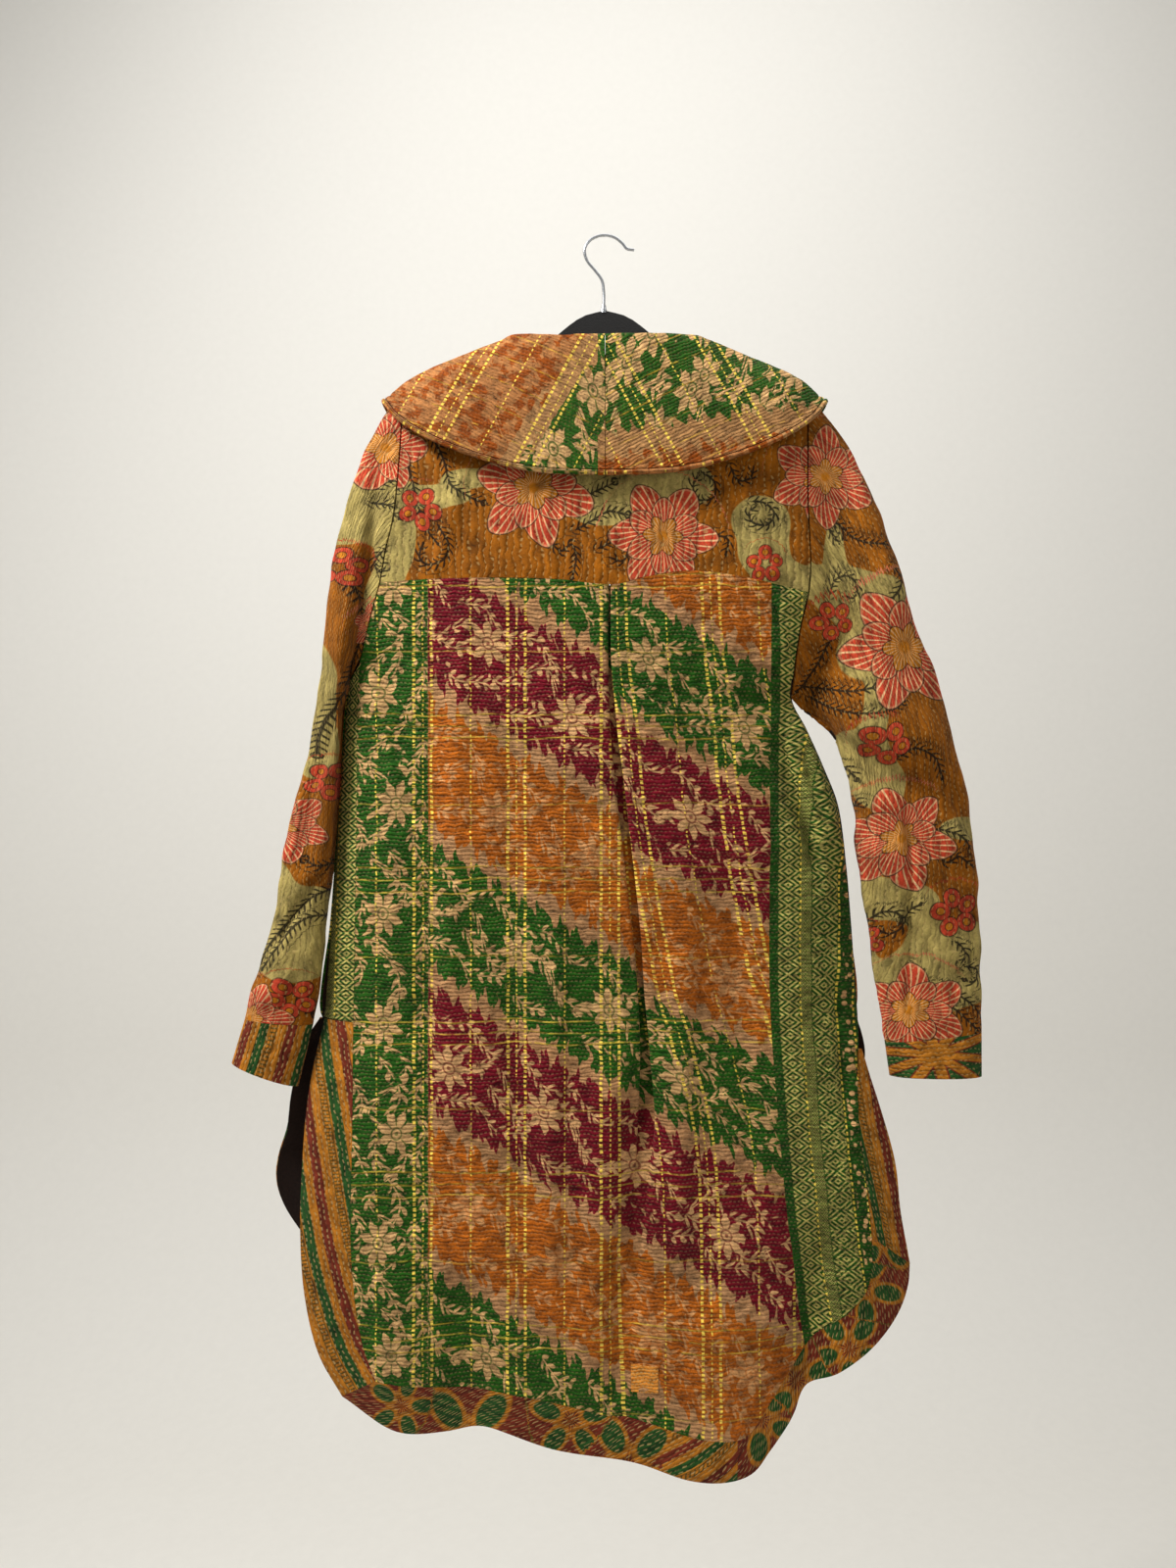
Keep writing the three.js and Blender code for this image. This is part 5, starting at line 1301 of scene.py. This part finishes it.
def add_yoke(seam_points):
    rows, columns = YOKE_SIZE
    u = np.linspace(0, 1, columns + 1)
    v = np.r_[YOKE_TOP, np.linspace(0.036, 1, rows - 5)]
    foot_x, foot_z = seam_points[:, 0], seam_points[:, 1]

    def top(u):
        x = lerp(ARMHOLE_LEFT[0][0], ARMHOLE_RIGHT[0][0], u)
        neck = np.abs(x) < NECK_HALF
        dip = np.where(neck, NECK_DIP * (1 - (x / NECK_HALF) ** 2), 0)
        return np.stack([x, np.where(neck, shoulder_z(NECK_HALF), shoulder_z(x)) - dip], axis=-1)

    def foot(u):
        x = lerp(foot_x[0], foot_x[-1], u)
        return np.stack([x, np.interp(x, foot_x, foot_z)], axis=-1)

    flat = between(top, foot, outline(ARMHOLE_LEFT[:6]), outline(ARMHOLE_RIGHT[:6]), u, v)
    flat[..., 1] += YOKE_GAP * v[:, None]
    points = on_body(flat, -1, BACK_FOLDS)
    place = print_place(points)
    normals = normals_of(points, False, -1)
    fade = edge_fade(points.shape[:2]) * smoothstep(0.05, 0.2, v)[:, None]
    rise = crumple(place, YOKE_LUMPS)
    rise += CREASING * fold_rise(BACK_CREASES, flat[..., 0], flat[..., 1])
    draped = points + normals * (rise * fade)[..., None]
    ridge = quilting(place[..., 0], FLORAL_PITCH) * fade
    lean = [(0, slice(None), (0, 0, 1))]
    prints = {**floral_prints(place), "thread": thread_field(place[..., 0], place[..., 1])}
    piece = shell("cloth_back_yoke", draped, CLOTH, place, -1, lift=ridge, lean=lean, prints=prints)
    sewn(piece, "back_yoke", (FLORAL, LINING), points)


def border_grid(seam_points, rows, count):
    """A strip from the panel's edge points out to a border's outer edge."""
    outer = outline([row[2:] for row in rows])
    whole = outline(inner_side(rows)).length
    gone = run_along(seam_points)
    edge = outer(1 - (gone[-1] - gone) / whole)
    start = seam_points + BORDER_GAP * unit(edge - seam_points)
    t = np.linspace(0, 1, count + 1)[None, :, None]
    return start[:, None] * (1 - t) + edge[:, None] * t


def even(count):
    """The highest even number up to a count of spans."""
    return count - count % 2


def thicken(line, spans):
    """The same line in more points, an even number of spans."""
    gone = run_along(line)
    at = np.linspace(0, gone[-1], even(spans) + 1)
    return np.stack([np.interp(at, gone, line[:, k]) for k in range(line.shape[1])], axis=-1)


BORDER_COLUMNS = 24
BORDER_LUMPS = [(0.35, 12, 7, 31), (0.6, 40, 34, 32)]
ZARI_START = 10


def add_strip(name, line, rows, turn, material, spans, slant=0.0, prints=None, zari=False):
    """A border or strip along an edge of the panel. slant moves its print across as it runs on."""
    flat = border_grid(thicken(line, spans), rows, BORDER_COLUMNS)
    points = on_body(flat, -1, BACK_FOLDS)
    place = print_place(points)
    along = run_along(flat[:, 0])[:, None]
    out = np.linalg.norm(flat - flat[:, :1], axis=2)
    across = out + along * slant
    fields = {"thread": thread_field(across, along + 0 * out)}
    if zari:
        fields["zari"] = ZARI_START + out
        fields["place"] = np.dstack([place, 0 * out])
    fields.update(prints(place) if prints else {})
    normals = normals_of(points, False, turn)
    rise = crumple(place, BORDER_LUMPS) * edge_fade(points.shape[:2], 4)
    draped = points + normals * rise[..., None]
    lean = side_lean(flat, (-1, 0, 0))
    piece = shell(f"cloth_{name}", draped, CLOTH, place, turn, lean=lean, prints=fields)
    sewn(piece, name, (material, LINING), points)


FOOT_STRIPES = (676, 752)


def foot_prints(place):
    """Where the foot border is maroon with daisies, and where it is striped."""
    start, end = FOOT_STRIPES
    inside = np.minimum(place[..., 0] - start, end - place[..., 0])
    return {"daisy": nearest(place, DAISIES), "maroon": -inside}


def add_borders(flat, seen):
    left, right = flat[:, 0], flat[:, -1]
    start = int(np.argmax(left[:, 1] < SIDE_STRIP[0][1]))
    vent = int(np.argmax(left[:, 1] < BORDER_LEFT[0][1]))
    tip = int(np.argmax(right[:, 1] < BORDER_RIGHT[0][1]))
    add_strip("side_strip_left", left[start:vent + 1], SIDE_STRIP, 1, BANDED,
              spans=150, zari=True)
    add_strip("hem_border_back_left", left[vent:], BORDER_LEFT, 1, STRIPED,
              spans=140, slant=0.2)
    add_strip("hem_border_back_foot", flat[-1, seen], BORDER_FOOT, 1, DAISY,
              spans=240, slant=1.0, prints=foot_prints)
    add_strip("hem_border_back_right", right[tip:], BORDER_RIGHT, -1, STRIPED,
              spans=120, slant=-0.16)


# Fronts, plain but in the same cloths
FRONT_TOP = [0, 0.0003, 0.001, 0.0022, 0.004, 0.0075, 0.014]
FRONT_ROWS = 154
FRONT_COLUMNS = 40
FRONT_PRINT_Y = -45.0
FRONT_BORDER_SPANS = 200
FRONT_BORDER_COLUMNS = 12
NO_ZARI = -50.0


def front_flat(side):
    sign = -1 if side == "left" else 1
    armhole = ARMHOLE_LEFT if sign < 0 else ARMHOLE_RIGHT
    middle = outline(FRONT_EDGE)
    edge = outline([*armhole, *FRONT_SIDE[side][1:]])
    flip = np.array([sign, 1.0])

    def top(u):
        x = sign * lerp(NECK_HALF, SHOULDER_TIP, u)
        return np.stack([x, shoulder_z(x)], axis=-1)

    def inside(v):
        return middle(v) * flip

    def foot(u):
        ends = inside(np.array([1.0])), edge(np.array([1.0]))
        p = lerp(ends[0], ends[1], u[:, None])
        p[:, 1] -= read(FRONT_FOOT, "share", "rise", u)
        return p

    u = np.linspace(0, 1, FRONT_COLUMNS + 1)
    v = np.r_[FRONT_TOP, np.linspace(0.022, 1, FRONT_ROWS)]
    return between(top, foot, inside, edge, u, v), sign


def add_front(side):
    flat, sign = front_flat(side)
    points = on_body(flat, 1)
    place = print_place(points, FRONT_PRINT_Y)
    lean = [(0, slice(None), (0, 0, 1)), *side_lean(flat, (sign, 0, 0))]
    prints = {"zari": np.full(place.shape[:2], NO_ZARI)}
    piece = shell(f"cloth_front_{side}", points, CLOTH, place, sign, lean=lean, prints=prints)
    sewn(piece, f"front_{side}", (BANDED, LINING), points)
    add_front_border(side, flat, sign)


def add_front_border(side, flat, sign):
    down = flat[flat[:, -1, 1] < VENT_TOP][:, -1]
    path = thicken(np.vstack([down, flat[-1, ::-1][1:]]), FRONT_BORDER_SPANS)
    along = unit(np.gradient(path, axis=0))
    away = np.stack([-sign * along[:, 1], sign * along[:, 0]], axis=-1)
    share = np.linspace(0, 1, len(path))
    width = read(FRONT_BORDER[side], "share", "width", share)
    t = np.linspace(0, 1, FRONT_BORDER_COLUMNS + 1)[None, :]
    strip = path[:, None] + away[:, None] * (BORDER_GAP + t * width[:, None])[..., None]
    edge = on_body(strip, 1)
    place = print_place(edge, FRONT_PRINT_Y)
    gone = run_along(path)[:, None]
    fields = {"thread": thread_field(t * width[:, None] + gone * 0.3, gone + 0 * t)}
    piece = shell(f"cloth_hem_border_front_{side}", edge, CLOTH, place, sign, prints=fields)
    sewn(piece, f"hem_border_front_{side}", (STRIPED, LINING), edge)


# Sleeves and cuffs
ARM_COLUMNS = 112
ARM_ROWS = 220
ARM_LUMPS = [(0.5, 9, 16, 41), (1.6, 38, 22, 42)]
ARM_PITCH = 8.0
CUFF_ROWS = 24
# The first row whose girth counts as the sleeve's width, below the armhole.
GIRTH_ROW = 55


def ring_angles(columns):
    angle = 2 * np.pi * np.arange(columns) / columns
    return (1 - np.cos(angle)) / 2, np.abs(np.sin(angle)) ** ARM_ROUNDING, np.where(angle <= np.pi, -1, 1)


def sleeve_points(side, v):
    sign = -1 if side == "left" else 1
    sleeve, folds = SLEEVES[side], SLEEVE_FOLDS[side]
    u, swell, face = ring_angles(ARM_COLUMNS)
    armhole = outline(ARMHOLE_LEFT if sign < 0 else ARMHOLE_RIGHT)
    outer, inner = outline(sleeve["outer"]), outline(sleeve["inner"])
    shift = np.array([sign * SET_IN, 0.0])

    def top(u):
        return armhole(u) + shift

    def foot(u):
        return lerp(outer(np.array([1.0])), inner(np.array([1.0])), u[:, None])

    def edge(line, end):
        move = top(np.array([end])) - line(np.array([0.0]))
        return lambda v: line(v) + move * (1 - v)[:, None]

    half = ARM_COLUMNS // 2
    across = u[:half + 1]
    flat = between(top, foot, edge(outer, 0.0), edge(inner, 1.0), across, v)
    flat = np.concatenate([flat, flat[:, -2:0:-1]], axis=1)
    x, z = flat[..., 0], flat[..., 1]
    middle = read(sleeve["depth"], "v", "middle", v)[:, None]
    depth = read(sleeve["depth"], "v", "half", v)[:, None]
    fold = np.where(face < 0, fold_rise(folds, x, z), 0)
    tube = middle + face * (depth + fold) * swell
    joined = np.where(face < 0, body_y(x, z, -1), body_y(x, z, 1)) * np.minimum(swell * 2, 1)
    y = lerp(joined, tube, smoothstep(0, ARM_BLEND, v)[:, None])
    return np.stack([x, y, z], axis=-1), sign


def unrolled(points):
    """Print units of a tube's cloth: the front repeats the back's print across the outer fold.
    Returns how far each point is from that fold as well."""
    half = ARM_COLUMNS // 2
    place = print_place(points)
    step = np.linalg.norm(np.roll(points, -1, axis=1) - points, axis=2)
    gone = np.cumsum(step, axis=1) - step
    away = np.minimum(gone, step.sum(axis=1, keepdims=True) - gone)
    stretch = (place[:, half, 0] - place[:, 0, 0]) / away[:, half]
    return np.stack([place[:, :1, 0] + away * stretch[:, None], place[..., 1]], axis=-1), away


def add_sleeve(side):
    v = np.linspace(0, 1, ARM_ROWS + 1)
    points, sign = sleeve_points(side, v)
    place, away = unrolled(points)
    normals = normals_of(points, True, sign)
    fade = np.minimum(smoothstep(0.02, 0.1, v), 1 - smoothstep(0.97, 1, v))[:, None]
    rise = crumple(place, ARM_LUMPS)
    rise += CREASING * fold_rise(SLEEVE_CREASES[side], points[..., 0], points[..., 2])
    draped = points + normals * (rise * fade)[..., None]
    ridge = quilting(away, ARM_PITCH) * fade
    prints = {**floral_prints(place), "thread": thread_field(away, place[..., 1])}
    piece = shell(f"cloth_sleeve_{side}", draped, CLOTH, place, sign,
                  ring=True, lift=ridge, prints=prints)
    sewn(piece, f"sleeve_{side}", (FLORAL, LINING), points,
         ring=True, from_row=GIRTH_ROW)
    add_cuff(side, sign)


def add_cuff(side, sign):
    sleeve = SLEEVES[side]
    ox0, oz0, ix0, iz0, ox1, oz1, ix1, iz1 = sleeve["cuff"]
    u, swell, face = ring_angles(ARM_COLUMNS)
    t = np.linspace(0, 1, CUFF_ROWS + 1)[:, None]
    drop = np.where(face > 0, CUFF_FRONT_DROP * swell, 0)
    head = np.stack([lerp(ox0, ix0, u), lerp(oz0, iz0, u) - BORDER_GAP], axis=-1)
    foot = np.stack([lerp(ox1, ix1, u), lerp(oz1, iz1, u) - drop], axis=-1)
    flat = lerp(head[None], foot[None], t[..., None])
    middle, half = sleeve["depth"]["middle"][-1], sleeve["depth"]["half"][-1]
    y = middle + face * half * (1 + CUFF_FLARE * t) * swell
    points = np.stack([flat[..., 0], y, flat[..., 1]], axis=-1)
    place, away = unrolled(points)
    fields = {"thread": thread_field(away * 1.15, t * 45 + 0 * away)}
    material = STRIPED if side == "left" else STARBURST
    piece = shell(f"cloth_cuff_{side}", points, CLOTH, place, sign, ring=True, prints=fields)
    sewn(piece, f"cuff_{side}", (material, LINING), points, ring=True)


# Collar and its rolled rim
COLLAR_SIZE = (220, 64)
COLLAR_LUMPS = [(0.4, 10, 6, 51), (0.9, 44, 26, 52)]
COLLAR_PRINT_Y = -40.0
GROOVE_PLACE = 5.0
GROOVE_WIDTH = 1.6
GROOVE_DEPTH = 0.9
RIM_SIDES = 16


def collar_points(sign):
    stations, columns = COLLAR_SIZE
    a = np.linspace(0, 1, stations + 1) * (len(COLLAR) - 1)
    lines = np.array([spline([row[k] for row in COLLAR], a) for k in range(5)])
    t = np.linspace(0, 4, columns + 1)
    grid = np.array([spline(lines[:, i], t) for i in range(stations + 1)])
    grid[..., 0] *= sign
    resting = (t[None] > 0.6) & (grid[..., 2] <= shoulder_z(grid[..., 0]) - 0.5)
    side = np.where(grid[..., 1] < 0, -1, 1)
    least_back = np.abs(body_y(grid[..., 0], grid[..., 2], -1, BACK_FOLDS)) + COLLAR_REST
    least_front = np.abs(body_y(grid[..., 0], grid[..., 2], 1)) + COLLAR_REST
    least = np.where(side < 0, least_back, least_front)
    grid[..., 1] = np.where(resting, side * np.maximum(np.abs(grid[..., 1]), least), grid[..., 1])
    return grid


def tube(name, centres, radius, sides, across=None):
    """A round rod along a line of points, with flat ends."""
    along = unit(np.gradient(centres, axis=0))
    first = np.array([0.0, 1.0, 0.0]) if across is None else across
    right = unit(np.cross(along, first))
    up = np.cross(right, along)
    angle = 2 * np.pi * np.arange(sides) / sides
    ring = right[:, None] * np.cos(angle)[None, :, None] + up[:, None] * np.sin(angle)[None, :, None]
    thick = np.broadcast_to(radius, len(centres))[:, None, None]
    points = (centres[:, None] + ring * thick).reshape(-1, 3) * MM
    faces = []
    for start in range(0, (len(centres) - 1) * sides, sides):
        for j in range(sides):
            k = (j + 1) % sides
            faces.append((start + j, start + k, start + sides + k, start + sides + j))
    last = (len(centres) - 1) * sides
    faces += [tuple(range(sides))[::-1], tuple(range(last, last + sides))]
    mesh = bpy.data.meshes.new(name)
    mesh.from_pydata(points, [], faces)
    mesh.shade_smooth()
    mesh.set_sharp_from_angle(angle=SHARP_EDGE)
    piece = bpy.data.objects.new(name, mesh)
    bpy.context.scene.collection.objects.link(piece)
    return piece


def add_collar(side):
    sign = -1 if side == "left" else 1
    grid = collar_points(sign)
    place = print_place(grid, COLLAR_PRINT_Y)
    step = np.linalg.norm(np.diff(grid, axis=1), axis=2)
    out = np.concatenate([np.zeros((len(grid), 1)), np.cumsum(step, axis=1)], axis=1)
    aside, down = place[..., 0] - COLLAR_MIDDLE[0], place[..., 1] - COLLAR_MIDDLE[1]
    c, s = math.cos(COLLAR_SLANT), math.sin(COLLAR_SLANT)
    across = aside * c * sign - down * s
    along = aside * s * sign + down * c
    normals = normals_of(grid, False, sign)
    fade = edge_fade(grid.shape[:2], 3)
    rise = crumple(place, COLLAR_LUMPS)
    groove = -GROOVE_DEPTH * np.exp(-(((out[:, -1:] - out) - GROOVE_PLACE) / GROOVE_WIDTH) ** 2)
    draped = grid + normals * (rise * fade)[..., None]
    prints = {"thread": thread_field(across, along)}
    piece = shell(f"cloth_collar_{side}", draped, COLLAR_CLOTH, place, sign,
                  lift=groove, prints=prints)
    sewn(piece, f"collar_{side}", (COLLAR_PRINT, LINING), grid)
    add_rim(side, grid)


def add_rim(side, grid):
    """The turned rim, sewn along the collar's edge."""
    edge = grid[:, -1]
    along = unit(np.gradient(edge, axis=0))
    down = edge - grid[:, -2]
    down = unit(down - along * (down * along).sum(axis=1, keepdims=True))
    centres = edge + down * (PIPE_RADIUS + PIPE_GAP)
    swell = PIPE_RADIUS * (1 + 0.05 * np.sin(np.arange(len(edge)) * 0.9))
    piece = tube(f"rim_collar_{side}", centres, swell, RIM_SIDES, down)
    place = print_place(np.repeat(centres, RIM_SIDES, axis=0), COLLAR_PRINT_Y)
    turn = np.tile(np.arange(RIM_SIDES), len(edge))
    gone = np.repeat(run_along(edge), RIM_SIDES)
    add_field(piece.data, "place", np.stack([place[:, 0], place[:, 1], 0 * gone], axis=-1))
    add_field(piece.data, "thread", np.stack([gone, turn * 1.0, 0 * gone], axis=-1))
    piece.data.materials.append(COLLAR_PRINT)
    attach(piece, "root")
    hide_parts(f"collar_roll_{side}")


PATCH_SPANS = 24
PATCH_CLEAR = 0.4


def add_patch():
    u = v = np.linspace(0, 1, PATCH_SPANS + 1)
    x = lerp(PATCH["x0"], PATCH["x1"], u)[None] + 0 * v[:, None]
    z = lerp(PATCH["z1"], PATCH["z0"], v)[:, None] + 0 * u[None]
    points = on_body(np.stack([x, z], axis=-1), -1, BACK_FOLDS)
    points[..., 1] -= CLOTH / 2 + SEAM + PATCH_CLOTH / 2 + PATCH_CLEAR
    place = print_place(points)
    d = Drawing("patch_cotton")
    px, py, _ = d.read("place")
    colour = d.mix(d.noise(px, py, 4, 3.0), *PATCH_SHADES)
    colour, height = weave(d, colour, py, px, rows=3.4, thread=1.8, dash=4.0, stitch=STITCH, shown=0.6)
    piece = shell("cloth_patch", points, PATCH_CLOTH, place, -1)
    sewn(piece, "patch", (d.finish(colour, height), LINING), points)


HOOK_SPANS = 140
HOOK_SIDES = 20
FERRULE = [(-1, -78, 3.4), (-1, -75, 3.4), (-1, -73.5, 2.6), (-1, -70, 2.2)]


def add_hook():
    line = outline([(x, 0, z) for x, z in HOOK])(np.linspace(0, 1, HOOK_SPANS + 1))
    piece = tube("hook", line, WIRE / 2, HOOK_SIDES)
    piece.data.materials.append(CHROME)
    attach(piece, "root")
    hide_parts("hanger_hook")


def add_ferrule():
    """The collar of metal where the hook goes into the velvet: place and radius of each ring."""
    x, z, radius = np.array(FERRULE, float).T
    piece = tube("hook_ferrule", np.stack([x, 0 * x, z], axis=1), radius, HOOK_SIDES)
    piece.data.materials.append(CHROME)
    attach(piece, "root")


def add_hanger():
    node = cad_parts["hanger_body"]
    if not node.data.materials:
        node.data.materials.append(VELVET)
    for slot in node.material_slots:
        slot.material = VELVET


# Room and light
FLOOR_DROP = -2.15
WALL_BACK = 2.3
ROOM_HALF = 4.0
ROOM_CURVE = 0.8
ROOM_FRONT = -3.5
ROOM_TOP = 2.2
CURVE_STEPS = 12
# Lamps: name, place, what it points at, size and power.
LAMPS = [
    ("key", (-1.45, -0.75, 1.2), (0, 0, -0.6), 0.55, 72),
    ("fill", (1.9, -2.2, 0.0), (0, 0, -0.6), 2.2, 9),
    ("wash", (0, 0.6, 1.7), (0, 2.3, -0.6), 2.5, 30),
]
WORLD_COLOUR = (0.96, 0.95, 0.92, 1)
WORLD_STRENGTH = 0.36


def room():
    bend = [(ROOM_FRONT, FLOOR_DROP), (WALL_BACK - ROOM_CURVE, FLOOR_DROP)]
    for k in range(1, CURVE_STEPS + 1):
        angle = math.pi / 2 * k / CURVE_STEPS
        bend.append((WALL_BACK - ROOM_CURVE + ROOM_CURVE * math.sin(angle),
                     FLOOR_DROP + ROOM_CURVE * (1 - math.cos(angle))))
    bend.append((WALL_BACK, ROOM_TOP))
    points = [(x, y, z) for y, z in bend for x in (-ROOM_HALF, ROOM_HALF)]
    faces = [(2 * i, 2 * i + 1, 2 * i + 3, 2 * i + 2) for i in range(len(bend) - 1)]
    mesh = bpy.data.meshes.new("floor")
    mesh.from_pydata(points, [], faces)
    mesh.shade_smooth()
    floor = bpy.data.objects.new("floor", mesh)
    paint = plain("pale_floor", FLOOR_SHADES, size=20.0, rough=0.95, sheen=0.0, bump=0.1)
    floor.data.materials.append(paint)
    bpy.context.scene.collection.objects.link(floor)


def lamp(name, place, toward, size, power):
    data = bpy.data.lights.new(name, "AREA")
    data.size, data.energy = size, power
    light = bpy.data.objects.new(name, data)
    light.location = place
    run = np.array(toward, float) - np.array(place, float)
    tilt = math.acos(-run[2] / np.linalg.norm(run))
    light.rotation_euler = (tilt, 0, math.atan2(run[1], run[0]) - math.pi / 2)
    bpy.context.scene.collection.objects.link(light)


def lights():
    for row in LAMPS:
        lamp(*row)
    world = bpy.data.worlds.new("world")
    bpy.context.scene.world = world
    world.use_nodes = True
    background = world.node_tree.nodes["Background"]
    background.inputs["Color"].default_value = WORLD_COLOUR
    background.inputs["Strength"].default_value = WORLD_STRENGTH
    bpy.context.scene.view_settings.view_transform = "Standard"


add_back()
for side_name in ("left", "right"):
    add_front(side_name)
    add_sleeve(side_name)
    add_collar(side_name)
add_patch()
add_hook()
add_ferrule()
add_hanger()
room()
lights()
